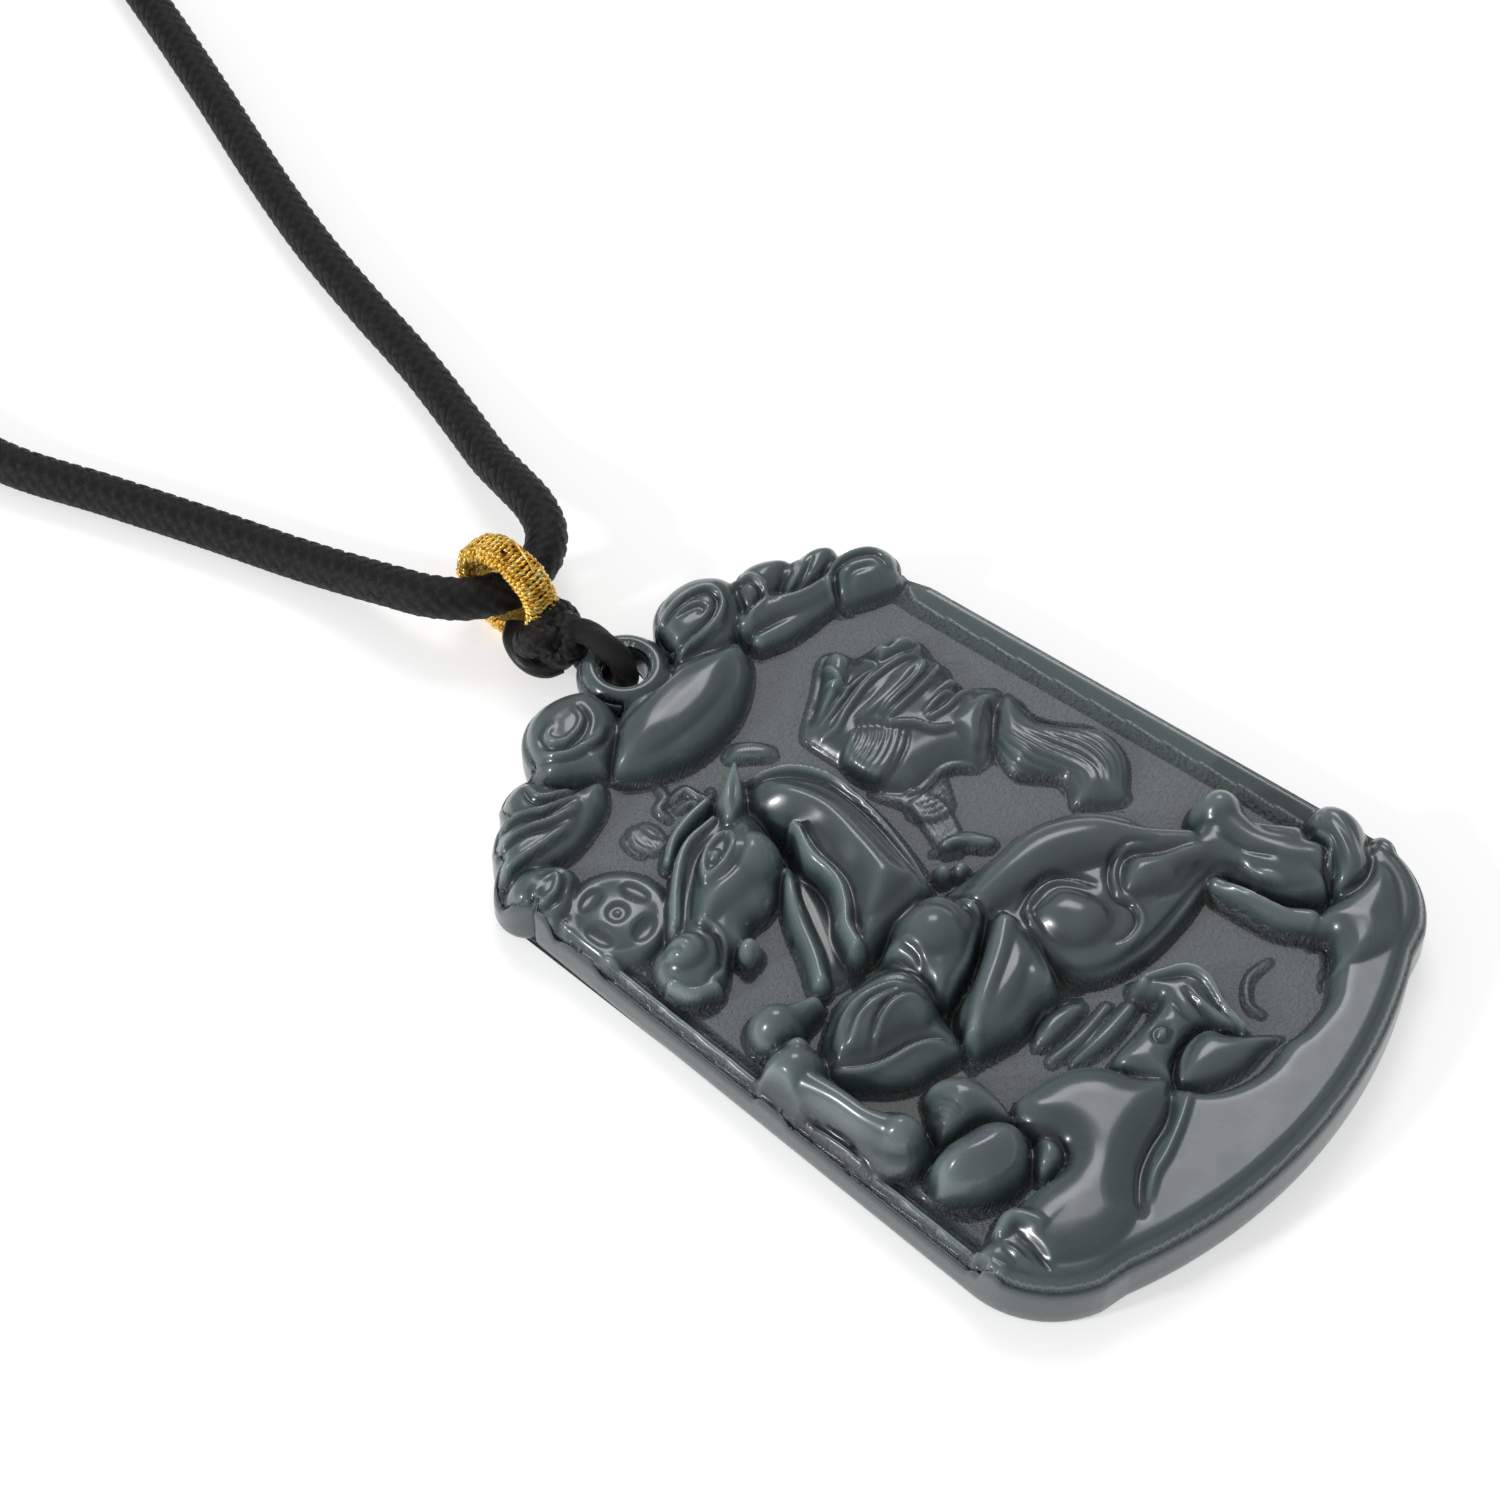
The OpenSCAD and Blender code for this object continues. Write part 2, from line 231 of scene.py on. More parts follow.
class Nodes:
    """A short way to build one material's node tree."""

    def __init__(self, name):
        self.material = bpy.data.materials.new(name)
        self.material.use_nodes = True
        self.tree = self.material.node_tree
        self.shader = self.tree.nodes["Principled BSDF"]

    def add(self, kind, **values):
        """A node with its settings and its unlinked inputs."""
        node = self.tree.nodes.new(kind)
        for key, value in values.items():
            if hasattr(node, key):
                setattr(node, key, value)
            else:
                node.inputs[key.replace("_", " ")].default_value = value
        return node

    def link(self, out, into):
        self.tree.links.new(out, into)

    def feed(self, name, out):
        """Link an output to one of the shader's own inputs."""
        self.link(out, self.shader.inputs[name])

    def set(self, **values):
        for key, value in values.items():
            self.shader.inputs[key.replace("_", " ")].default_value = value

    def math(self, operation, *values):
        """A math node over numbers and outputs."""
        node = self.add("ShaderNodeMath", operation=operation)
        for value, into in zip(values, node.inputs):
            if isinstance(value, (int, float)):
                into.default_value = value
            else:
                self.link(value, into)
        return node.outputs[0]

    def mix(self, a, b, factor, blend_type="MIX"):
        node = self.add("ShaderNodeMix", data_type="RGBA", blend_type=blend_type)
        node.inputs["Factor"].default_value = factor
        self.link(a, node.inputs["A"])
        self.link(b, node.inputs["B"])
        return node.outputs["Result"]

    def attribute(self, name):
        """A number stored on each vertex."""
        return self.add("ShaderNodeAttribute", attribute_name=name).outputs["Fac"]

    def object_place(self, scale=(1000.0, 1000.0, 1000.0)):
        """The point in the row frame, in millimetres unless scale says otherwise."""
        place = self.add("ShaderNodeTexCoord")
        mapping = self.add("ShaderNodeMapping")
        mapping.inputs["Scale"].default_value = scale
        self.link(place.outputs["Object"], mapping.inputs["Vector"])
        return mapping.outputs["Vector"]

    def noise(self, place, scale, detail=3.0, roughness=0.5):
        node = self.add("ShaderNodeTexNoise", Scale=scale, Detail=detail, Roughness=roughness)
        self.link(place, node.inputs["Vector"])
        return node.outputs["Fac"]

    def ramp(self, fac, stops):
        """A colour for each stop of (place, colour)."""
        node = self.add("ShaderNodeValToRGB")
        ramp = node.color_ramp
        while len(ramp.elements) < len(stops):
            ramp.elements.new(0.5)
        for element, (at, colour) in zip(ramp.elements, stops):
            element.position = at
            element.color = (*colour, 1)
        self.link(fac, node.inputs["Fac"])
        return node.outputs["Color"]

    def bump(self, height, strength, distance, normal=None):
        """A bump of a height in metres, on top of another when normal is given."""
        node = self.add("ShaderNodeBump", Strength=strength, Distance=distance)
        self.link(height, node.inputs["Height"])
        if normal is not None:
            self.link(normal, node.inputs["Normal"])
        return node.outputs["Normal"]


def jade_colour(m, place, grain, matte):
    """Clouded grey-green by the stone's thickness, with painted light where it is thin and on crests,
    painted shade in creases.
    """
    cloud = m.ramp(m.noise(place, 0.11, 4.0, 0.6), [
        (0.30, (0.092, 0.130, 0.132)), (0.48, (0.112, 0.146, 0.150)),
        (0.62, (0.128, 0.152, 0.170)), (0.78, (0.150, 0.190, 0.192)),
    ])
    # Paler where the stone is thin: painted light for light passing through it; the bluish tone where it is
    # thick is the stone's own.
    thickness = m.ramp(m.attribute("thick"), [
        (0.0, (0.170, 0.205, 0.205)), (0.35, (0.118, 0.150, 0.153)),
        (0.7, (0.095, 0.122, 0.130)), (1.0, (0.112, 0.130, 0.168)),
    ])
    # Painted light and shade: the crest level brightens the crests up to double and darkens the creases;
    # the speckle is the ground's own stipple.
    speckle = m.math("MULTIPLY_ADD", m.math("MULTIPLY", grain, matte), 0.22, -0.09)
    level = m.math("ADD", m.attribute("crest"), m.math("MULTIPLY", speckle, matte))
    shade = m.ramp(level, [
        (0.0, (0.16, 0.18, 0.18)), (0.38, (0.42, 0.45, 0.45)), (0.52, (0.56, 0.64, 0.62)),
        (0.68, (1.0, 1.06, 1.02)), (1.0, (2.1, 2.1, 2.0)),
    ])
    m.feed("Base Color", m.mix(m.mix(cloud, thickness, 0.5), shade, 1.0, "MULTIPLY"))


def jade_surface(m, place, grain, matte):
    """A rippled polish with tiny pits, and a dull stipple on the ground."""
    polish = m.math("MULTIPLY_ADD", m.noise(place, 0.6, 3.0, 0.5), 0.12, 0.22)
    m.feed("Roughness", m.math("MULTIPLY_ADD", matte, 0.30, polish))
    stipple = m.bump(m.math("MULTIPLY", grain, matte), 1.0, 0.0005)
    cells = m.add("ShaderNodeTexVoronoi", Scale=1.3)
    m.link(place, cells.inputs["Vector"])
    pit = m.math("LESS_THAN", cells.outputs["Distance"], 0.10)
    pitted = m.bump(m.math("MULTIPLY", pit, -1.0), 0.25, 0.00004, stipple)
    m.feed("Normal", m.bump(m.noise(place, 0.35, 1.0, 0.4), 0.10, 0.0003, pitted))


def jade_material():
    """Polished dark jade, with a little light passing through."""
    m = Nodes("jade")
    place = m.object_place()
    grain = m.noise(place, 3.2, 2.0, 0.6)
    matte = m.attribute("matte")
    jade_colour(m, place, grain, matte)
    jade_surface(m, place, grain, matte)
    m.set(IOR=1.62, Subsurface_Weight=0.3, Subsurface_Scale=0.001, Coat_Weight=0.35, Coat_Roughness=0.1)
    m.set(Subsurface_Radius=(0.7, 1.0, 1.0))
    return m.material


def braid_material():
    """Black braid, with painted shade between the strands and lighter tops, and a dull fuzz on them."""
    m = Nodes("braid")
    place = m.object_place()
    # Painted shade by the strands' height: near black between them, lighter on their tops.
    m.feed("Base Color", m.ramp(m.attribute("lift"), [
        (0.1, (0.002, 0.002, 0.002)), (0.6, (0.004, 0.004, 0.0045)), (1.0, (0.012, 0.012, 0.013)),
    ]))
    m.feed("Roughness", m.math("MULTIPLY_ADD", m.noise(place, 9.0, 2.0, 0.7), 0.3, 0.42))
    m.feed("Normal", m.bump(m.noise(place, 5.0, 2.0, 0.6), 0.5, 0.00012))
    m.set(Sheen_Weight=0.02, Sheen_Roughness=0.4, Specular_IOR_Level=0.35)
    return m.material


def gold_material():
    """Metallic thread that goes from brown gold to pale gold in patches."""
    m = Nodes("gold_thread")
    place = m.object_place()
    m.feed("Base Color", m.ramp(m.noise(place, 1.4, 3.0, 0.6), [
        (0.32, (0.45, 0.20, 0.02)), (0.5, (1.0, 0.62, 0.10)), (0.66, (1.0, 0.86, 0.38)),
    ]))
    glint = m.noise(place, 6.0, 2.0, 0.6)
    m.feed("Roughness", m.math("MULTIPLY_ADD", glint, 0.25, 0.18))
    m.feed("Normal", m.bump(glint, 0.4, 0.00006))
    m.set(Metallic=0.85)
    return m.material


def thread_material(name, base, rough, scale):
    """Thin cord: one colour, darker and lighter with the weave."""
    m = Nodes(name)
    weave = m.noise(m.object_place(), scale, 3.0, 0.7)
    low = tuple(0.5 * c for c in base)
    high = tuple(2.2 * c for c in base)
    m.feed("Base Color", m.ramp(weave, [(0.35, low), (0.7, high)]))
    m.feed("Roughness", m.math("MULTIPLY_ADD", weave, 0.25, rough))
    m.feed("Normal", m.bump(weave, 0.7, 0.00015))
    m.set(Sheen_Weight=0.03, Sheen_Roughness=0.4, Specular_IOR_Level=0.35)
    return m.material


def satin_material():
    """Dark satin with fine lines along the strand."""
    m = Nodes("satin")
    lines = m.noise(m.object_place((9000.0, 900.0, 9000.0)), 1.0, 2.0, 0.6)
    m.feed("Base Color", m.ramp(lines, [(0.3, (0.006, 0.005, 0.005)), (0.7, (0.020, 0.017, 0.016))]))
    m.feed("Roughness", m.math("MULTIPLY_ADD", lines, 0.15, 0.32))
    m.feed("Normal", m.bump(lines, 0.4, 0.00005))
    m.set(Sheen_Weight=0.15, Sheen_Roughness=0.3)
    return m.material


def floor_material():
    """White paper with a faint grain."""
    m = Nodes("floor")
    grain = m.noise(m.object_place((1.0, 1.0, 1.0)), 40.0, 3.0, 0.5)
    m.feed("Base Color", m.ramp(grain, [(0.0, (0.90, 0.90, 0.90)), (1.0, (0.93, 0.93, 0.93))]))
    m.set(Roughness=0.9, Specular_IOR_Level=0.1)
    m.set(Emission_Strength=0.5, Emission_Color=(1, 1, 1, 1))
    return m.material


# ---------------------------------------------------------------- the carving

# The relief's grid
CELL = 0.16
REACH_X = 22.4
REACH_Y = 31.2
# Heights of the sunk ground and of where the rounded bodies start, hidden under it
GROUND = 2.8
UNDER = 2.2
# The slab's outline
SHOULDER_Y = 18
SHOULDER_HALF = 19
WIDEN = 0.055
CORNER_Y = -20
CORNER_R = 7
BASE_ARC_Y = 7.3
BASE_ARC_R = 37.3
# The hanging hole in its boss, and the scroll lobes on each side as (x, y, radius)
HOLE = (0.0, 26.8)
HOLE_R = 1.5
BOSS_R = 3.3
LOBES = [(6.6, 24.9, 3.9), (11.9, 23.3, 3.0), (15.4, 21.9, 2.1), (17.3, 19.8, 2.3)]
# The hollow across the back that lets the thin loop pass
SCOOP_Y, SCOOP_Z, SCOOP_R = 30.5, -5.0, 7.0
# The upper edge's arc: the relief covers it down to this angle, which lies this share of the
# radius inside the outline, and the side does the rest. The foot has an arc of its own.
EDGE_START = 45
INSET = 0.29
FOOT_R = 0.7


def side_x(y):
    """Half width of the stone at y, below the scrolls."""
    return SHOULDER_HALF + WIDEN * (SHOULDER_Y - y)


def slab_line():
    """The stone's outline below the scrolls, anticlockwise."""
    corner_x = side_x(CORNER_Y) - CORNER_R
    right = [(side_x(SHOULDER_Y), SHOULDER_Y), (side_x(CORNER_Y), CORNER_Y)]
    for a in np.radians(range(-6, -69, -6)):
        right.append((corner_x + CORNER_R * math.cos(a), CORNER_Y + CORNER_R * math.sin(a)))
    base = []
    for x in range(15, -16, -1):
        base.append((x, BASE_ARC_Y - math.sqrt(BASE_ARC_R**2 - x * x)))
    left = [(-x, y) for x, y in right[::-1]]
    return np.array(right + base + left)


def scroll_line():
    """The stone's outline under the scrolls, which reaches down into the slab."""
    return np.array([
        (-18.9, 13), (18.9, 13), (18.9, 17.5), (15, 22), (5, 25), (-5, 25), (-15, 22), (-18.9, 17.5),
    ], float)


def nearest(x, y, path, closed=False):
    """Distance from each point to a line, with the line's other columns and place there."""
    if closed:
        path = np.vstack([path, path[:1]])
    best = np.full(x.shape, 1e9)
    values = np.zeros(x.shape + (path.shape[1] - 1,))
    place = np.linspace(0, 1, len(path))
    data = np.column_stack([path[:, 2:], place])
    for i in range(len(path) - 1):
        ax, ay = path[i, :2]
        dx, dy = path[i + 1, :2] - path[i, :2]
        t = np.clip(((x - ax) * dx + (y - ay) * dy) / max(dx * dx + dy * dy, 1e-12), 0, 1)
        dist = np.hypot(x - ax - t * dx, y - ay - t * dy)
        closer = dist < best
        best = np.where(closer, dist, best)
        mixed = data[i] * (1 - t[..., None]) + data[i + 1] * t[..., None]
        values = np.where(closer[..., None], mixed, values)
    return best, values


def inside(x, y, line):
    """Which points lie inside a closed line."""
    result = np.zeros(x.shape, bool)
    for i in range(len(line)):
        (ax, ay), (bx, by) = line[i - 1, :2], line[i, :2]
        crosses = (ay > y) != (by > y)
        edge = ax + (y - ay) * (bx - ax) / (by - ay if by != ay else 1e-12)
        result ^= crosses & (x < edge)
    return result


def signed(x, y, line):
    """Distance to a closed line, negative inside it."""
    dist, _ = nearest(x, y, line, closed=True)
    return np.where(inside(x, y, line), -dist, dist)


def outline_distance(x, y):
    """Signed distance to the stone's edge, hole included: negative inside the stone."""
    d = np.minimum(signed(x, y, slab_line()), signed(x, y, scroll_line()))
    for lx, ly, lr in LOBES:
        for side in (-1, 1):
            d = np.minimum(d, np.hypot(x - side * lx, y - ly) - lr)
    d = np.minimum(d, np.hypot(x - HOLE[0], y - HOLE[1]) - BOSS_R)
    return np.maximum(d, HOLE_R - np.hypot(x - HOLE[0], y - HOLE[1]))


def smooth_max(a, b, k):
    """The larger of two heights, blended where they differ by less than k."""
    h = np.clip(0.5 + 0.5 * (b - a) / k, 0, 1)
    return a * (1 - h) + b * h + k * h * (1 - h)


class Relief:
    """A height field over the plaque, in millimetres, with the strokes that shape it."""

    def __init__(self):
        self.xs = np.arange(-REACH_X, REACH_X + CELL / 16, CELL)
        self.ys = np.arange(-REACH_Y, REACH_Y + CELL / 16, CELL)
        self.x, self.y = np.meshgrid(self.xs, self.ys)
        self.z = np.full(self.x.shape, GROUND)
        self.polish = np.zeros(self.x.shape)

    def window(self, path, reach):
        """The part of the grid within reach of a path."""
        low = path[:, :2].min(0) - reach
        high = path[:, :2].max(0) + reach
        cols = slice(np.searchsorted(self.xs, low[0]), np.searchsorted(self.xs, high[0]))
        rows = slice(np.searchsorted(self.ys, low[1]), np.searchsorted(self.ys, high[1]))
        return rows, cols

    def raise_to(self, win, height, blend):
        """Raise a window to a height where that is higher, and polish it there."""
        self.polish[win] = np.maximum(self.polish[win], height > self.z[win] - 0.02)
        self.z[win] = smooth_max(self.z[win], height, blend)

    def ridge(self, points, blend=0.25, base=UNDER):
        """A rounded limb through points of (x, y, radius, top)."""
        path = catmull(points, 6)
        win = self.window(path, path[:, 2].max())
        dist, values = nearest(self.x[win], self.y[win], path)
        t = np.clip(dist / np.maximum(values[..., 0], 1e-3), 0, 1)
        self.raise_to(win, base + (values[..., 1] - base) * np.sqrt(1 - t * t), blend)

    def mass(self, outline, top, edge, soft=3, blend=0.2, lean=(0, 0), base=UNDER, rise=0.15):
        """A body with a smooth closed outline, rounded within edge of it and rising further in."""
        path = catmull(outline, 5, closed=True)
        win = self.window(path, 1.0)
        x, y = self.x[win], self.y[win]
        dist, _ = nearest(x, y, path, closed=True)
        t = np.clip(dist / edge, 0, 1) * inside(x, y, path)
        middle = path[:, :2].mean(0)
        crest = top + lean[0] * (x - middle[0]) + lean[1] * (y - middle[1])
        height = base + (crest - base) * np.sqrt(1 - (1 - t) ** 2) + rise * np.clip(dist - edge, 0, 3)
        self.raise_to(win, np.where(dist * (t > 0) > 0, soften(height, soft), 0), blend)

    def spot(self, x, y, rx, ry, turn):
        """A window with the height of a unit dome over an ellipse, turn in degrees."""
        win = self.window(np.array([[x, y]]), max(rx, ry) + CELL)
        c, s = math.cos(math.radians(turn)), math.sin(math.radians(turn))
        u = ((self.x[win] - x) * c + (self.y[win] - y) * s) / rx
        v = ((self.y[win] - y) * c - (self.x[win] - x) * s) / ry
        return win, np.sqrt(np.clip(1 - u * u - v * v, 0, 1))

    def dome(self, x, y, rx, ry, turn, top, blend=0.25, base=UNDER):
        """A rounded mound over an ellipse."""
        win, unit = self.spot(x, y, rx, ry, turn)
        self.raise_to(win, np.where(unit > 0, base + (top - base) * unit, 0), blend)

    def dent(self, x, y, rx, ry, turn, depth):
        """A rounded hollow over an ellipse."""
        win, unit = self.spot(x, y, rx, ry, turn)
        self.z[win] -= depth * unit

    def line(self, points, width, depth, taper=True):
        """A groove along points, or a raised thread when depth is negative."""
        path = catmull(points, 6)
        win = self.window(path, 3 * width)
        dist, values = nearest(self.x[win], self.y[win], path)
        fade = np.sin(np.pi * np.clip(values[..., -1], 0.02, 0.98)) ** 0.4 if taper else 1
        strength = depth if depth > 0 else 1.5 * depth
        self.z[win] -= strength * fade * np.exp(-((dist / width) ** 2))
        if depth < 0:
            self.polish[win] = np.maximum(self.polish[win], dist < width)

    def crease(self, points, width, depth, shift):
        """A groove with a raised thread beside it, shift away to its left."""
        path = catmull(points, 4)
        heading = np.gradient(path, axis=0)
        heading /= np.linalg.norm(heading, axis=1)[:, None]
        beside = path + np.column_stack([-heading[:, 1], heading[:, 0]]) * shift
        self.line(points, width, depth)
        self.line(beside[::3], 0.8 * width, -0.6 * depth)

    def hair(self, first, last, count, width, depth):
        """Grooves spread evenly between two guide lines."""
        steps = 10
        sides = []
        for guide in (first, last):
            path = catmull(guide, 8)
            sides.append(even(path, np.linalg.norm(np.diff(path, axis=0), axis=1).sum() / steps))
        for i in range(count):
            share = (i + 0.5) / count
            self.line(sides[0] * (1 - share) + sides[1] * share, width, depth)

    def strokes(self, width, depth, *lines):
        """Several lines of one width and depth."""
        for points in lines:
            self.line(points, width, depth)


def carve_right_border(r):
    """A band that slopes gently down to the ground."""
    d = side_x(r.y) - np.abs(r.x)
    beside = (r.x > 0) * np.clip((18.5 - r.y) / 3, 0, 1)
    r.z = np.maximum(r.z, GROUND + 0.95 * np.clip(1 - d / 2.6, 0, 1) * beside)


def carve_left_border(r):
    """A thin polished bead along the edge, which the legs stop short of."""
    d = side_x(r.y) + r.x
    beside = (r.x < 0) * np.clip((17.5 - r.y) / 2, 0, 1) * np.clip((r.y + 22) / 2, 0, 1)
    low = GROUND + 0.45 + 3.2 * np.clip(d - 0.6, 0, 3)
    r.z = np.where(beside > 0, np.minimum(r.z, low + 9 * (1 - beside)), r.z)
    bead = np.exp(-(((d - 0.85) / 0.27) ** 2)) * beside * np.clip((3.7 - r.z) / 0.3, 0, 1)
    r.z += 0.6 * bead
    r.polish = np.maximum(r.polish, bead > 0.3)
    r.z -= 0.22 * np.exp(-(((d - 1.4) / 0.22) ** 2)) * beside * (r.z < 3.2)


def carve_base(r):
    """The polished rocks under the horses, rolled over at the bottom edge."""
    r.mass([
        (-21, -19.2), (-18.6, -19.0), (-16.4, -19.2), (-14, -19.3), (-12.1, -19.6), (-11.1, -18.6),
        (-11.6, -16.4), (-11.1, -14.9), (-8.5, -14.8), (-6.9, -15.3), (-5.5, -16.3), (-4.6, -17.6),
        (-4.1, -19.1), (-3, -20.6), (-2.5, -21.9), (-1.6, -23.1), (-0.1, -24), (1.8, -24.5),
        (4.1, -24.4), (5.6, -24.7), (8.1, -24.6), (9.6, -23.9), (11.2, -23.1), (12.6, -21.8),
        (15, -20.8), (19.5, -19.6), (22, -20), (20.5, -26), (10, -31.5), (0, -32.5), (-10, -31.5),
        (-20.5, -26), (-22, -22),
    ], 4.5, 1.3, 5, rise=0)
    r.mass([
        (-11.4, -15.0), (-10.2, -14.4), (-8.5, -14.7), (-6.9, -15.2), (-5.5, -16.2), (-4.6, -17.5),
        (-4.1, -19.0), (-3.0, -20.5), (-3.1, -21.2), (-4.4, -21.9), (-5.8, -22.4), (-7.7, -22.6),
        (-9.5, -23.2), (-11.0, -24.2), (-12.4, -25.6), (-15.5, -25.6), (-18.2, -23.6), (-18.6, -21),
        (-17.2, -19.4), (-15, -19.2), (-12.2, -19.6), (-11.1, -18.6), (-11.8, -16.6),
    ], 5.1, 2.4, 5, lean=(-0.01, 0.02), base=3.6, rise=0)
    r.line([
        (-2.7, -20.6), (-4.4, -21.9), (-5.8, -22.5), (-7.7, -22.8), (-9.5, -23.4), (-11, -24.4),
        (-11.9, -25.2),
    ], 0.34, 0.8)
    r.line([(-2.8, -22.2), (-5.3, -23.2), (-7.6, -23.9), (-9.2, -24.2), (-10.8, -24.9)], 0.2, -0.25)
    # The curl in the lower left corner
    r.ridge([
        (-18.3, -19.6, 0.8, 4.8), (-17.2, -19.6, 1.0, 5.2), (-16.7, -20.9, 1.0, 5.3),
        (-16.9, -22.4, 0.8, 5.0),
    ], 0.5)
    r.line([(-17.8, -20.6), (-18.0, -22.0), (-18.6, -23.6)], 0.3, 0.35)
    r.line([(-19.0, -20.4), (-19.1, -21.6), (-19.4, -22.8)], 0.18, -0.35)
    d = -signed(r.x, r.y, slab_line())
    roll = np.clip(d / 4.2, 0, 1)
    rolled = 5.1 - 1.9 * (1 - np.sqrt(1 - (1 - roll) ** 2))
    low = np.clip((-18.5 - r.y) / 3, 0, 1)
    r.z = np.where(low > 0, np.minimum(r.z, rolled * low + 9 * (1 - low)), r.z)
    r.z -= 0.16 * low * np.exp(-(((d - 1.0) / 0.16) ** 2))


def carve_scroll_right(r):
    """The curled cloud lobes right of the boss."""
    r.ridge([
        (7.6, 21.3, 0.8, 4.2), (9.5, 20.7, 1.0, 4.3), (11.8, 20.3, 0.9, 4.2), (14, 20, 0.7, 4.0),
    ], 0.5)
    r.ridge([
        (8.0, 22.7, 1.2, 4.9), (9.8, 22.3, 1.6, 5.0), (11.4, 21.4, 1.5, 4.8), (13.6, 20.8, 1.2, 4.6),
        (15.2, 20.6, 0.8, 4.4),
    ])
    r.mass([
        (11, 22.2), (12.4, 24.2), (14.5, 24.4), (16.4, 23.9), (17.4, 22.4), (15.6, 21.2), (13, 21),
    ], 4.7, 1.5)
    r.line([(11.9, 23.0), (13.0, 23.2), (13.9, 23.6)], 0.18, 0.35)
    r.crease([(11.8, 22.0), (13.4, 22.3), (15.0, 22.9)], 0.18, 0.35, 0.35)
    r.crease([(10.9, 22.5), (12.0, 21.8), (13.5, 21.5), (15.4, 21.7)], 0.22, 0.4, -0.4)
    r.mass([
        (8.2, 23), (8.6, 25.8), (10, 26.5), (11.8, 26.4), (13.6, 25.4), (14.4, 23.9), (12.2, 22.7),
        (10, 22.4),
    ], 5.0, 1.9)
    r.crease([
        (8.6, 23.6), (9.1, 24.8), (10.3, 24.8), (10.4, 23.7), (9.6, 23.1), (8.4, 23.1), (7.8, 22.8),
    ], 0.2, 0.4, 0.35)
    r.mass([
        (13.4, 19.4), (14.2, 21.6), (15.7, 22.4), (17.7, 22.2), (19.3, 20.9), (19.7, 19), (19, 17.6),
        (17.4, 17), (15.6, 17.6), (14.2, 18.4),
    ], 4.9, 2.2, 4)
    r.crease([
        (13.7, 18.8), (13.9, 19.8), (14.9, 20.8), (16.1, 20.9), (17.3, 20.3), (17.9, 19.5), (17.6, 18.5),
    ], 0.24, 0.45, 0.4)
    r.line([(14.1, 18.8), (14.8, 19.6), (15.8, 19.8), (17.0, 19.1)], 0.3, 0.22)
    r.mass([
        (2.3, 26.9), (3.9, 28.2), (5.9, 29), (8.5, 28.6), (10.3, 26.8), (10.1, 24.6), (8.2, 22.9),
        (6.4, 22.3), (5.1, 22.2), (3.1, 23.0), (2.0, 24.3),
    ], 5.4, 2.8, 4)
    r.crease([
        (2.8, 26.2), (4.4, 26.6), (6.4, 26.5), (7.6, 25.9), (7.4, 24.9), (6.0, 24.3), (4.5, 24.3),
        (3.1, 24.6), (2.2, 24.3),
    ], 0.2, 0.45, 0.35)
    r.line([(8.4, 25.8), (8.0, 24.3), (6.6, 23.5), (4.7, 23.4), (3.3, 23.7)], 0.22, 0.25)
    r.crease([(4.4, 26.0), (5.5, 25.8), (6.4, 25.3), (5.7, 25.0)], 0.18, 0.25, 0.3)


def carve_scroll_left(r):
    """The curled cloud lobes left of the boss, with two long waves."""
    r.mass([
        (-8.0, 21.6), (-10, 22.8), (-11.4, 25.4), (-13.6, 25.6), (-15.6, 24.4), (-17.4, 23),
        (-18.6, 21.2), (-17.4, 19.8), (-15, 19.2), (-13.1, 19), (-10.8, 19.4), (-9.1, 20.1),
    ], 4.9, 2.0, 4)
    r.crease([(-12.6, 24.4), (-12.9, 23.3), (-12.3, 22.4), (-10.9, 22.0), (-9.8, 22.0)], 0.22, 0.5, 0.4)
    r.crease([
        (-16.4, 23.4), (-14.6, 22.9), (-13.5, 21.9), (-12.3, 21.6), (-10.8, 21.3),
    ], 0.22, 0.5, 0.4)
    r.crease([(-17.3, 22.2), (-15.4, 21.9), (-13.6, 21.0), (-11.8, 20.6)], 0.2, 0.45, 0.35)
    r.crease([(-18.4, 21.0), (-16.6, 20.5), (-15.0, 20.2), (-13.2, 20.0)], 0.2, 0.4, 0.3)
    r.line([(-9.6, 21.6), (-10.8, 20.9), (-12.4, 20.1), (-14, 19.8)], 0.35, 0.25)
    r.mass([
        (-15.9, 20.2), (-17.4, 20.9), (-19, 20.4), (-19.9, 19), (-19.9, 17.4), (-19.2, 16.2),
        (-17.6, 15.8), (-16.2, 16.6), (-14.9, 17.6), (-14.7, 18.8),
    ], 4.6, 1.6)
    r.crease([
        (-16.8, 19.0), (-15.8, 18.6), (-16.0, 17.8), (-17.2, 17.1), (-18.4, 17.2), (-18.7, 18.0),
        (-18.2, 18.7),
    ], 0.2, 0.45, -0.35)
    r.line([(-19.2, 20.2), (-17.6, 20.6), (-16.2, 20.1)], 0.2, 0.3)
    r.mass([
        (-10.4, 26.6), (-9.1, 28.2), (-7.0, 29), (-4.4, 28.4), (-2.8, 27), (-3.0, 25), (-3.9, 23.5),
        (-4.9, 22.8), (-6.8, 21.7), (-7.8, 21.4), (-9.3, 22.4), (-11, 23.9),
    ], 5.3, 2.6, 4)
    r.crease([
        (-5.4, 25.9), (-5.8, 24.9), (-7.0, 24.3), (-8.4, 24.4), (-9.1, 25.3), (-8.8, 26.3), (-7.9, 26.6),
    ], 0.22, 0.45, -0.35)
    r.crease([(-4.8, 23.8), (-6.3, 23.1), (-7.9, 23.3), (-9.3, 24.1), (-10.1, 25.3)], 0.2, 0.35, -0.35)


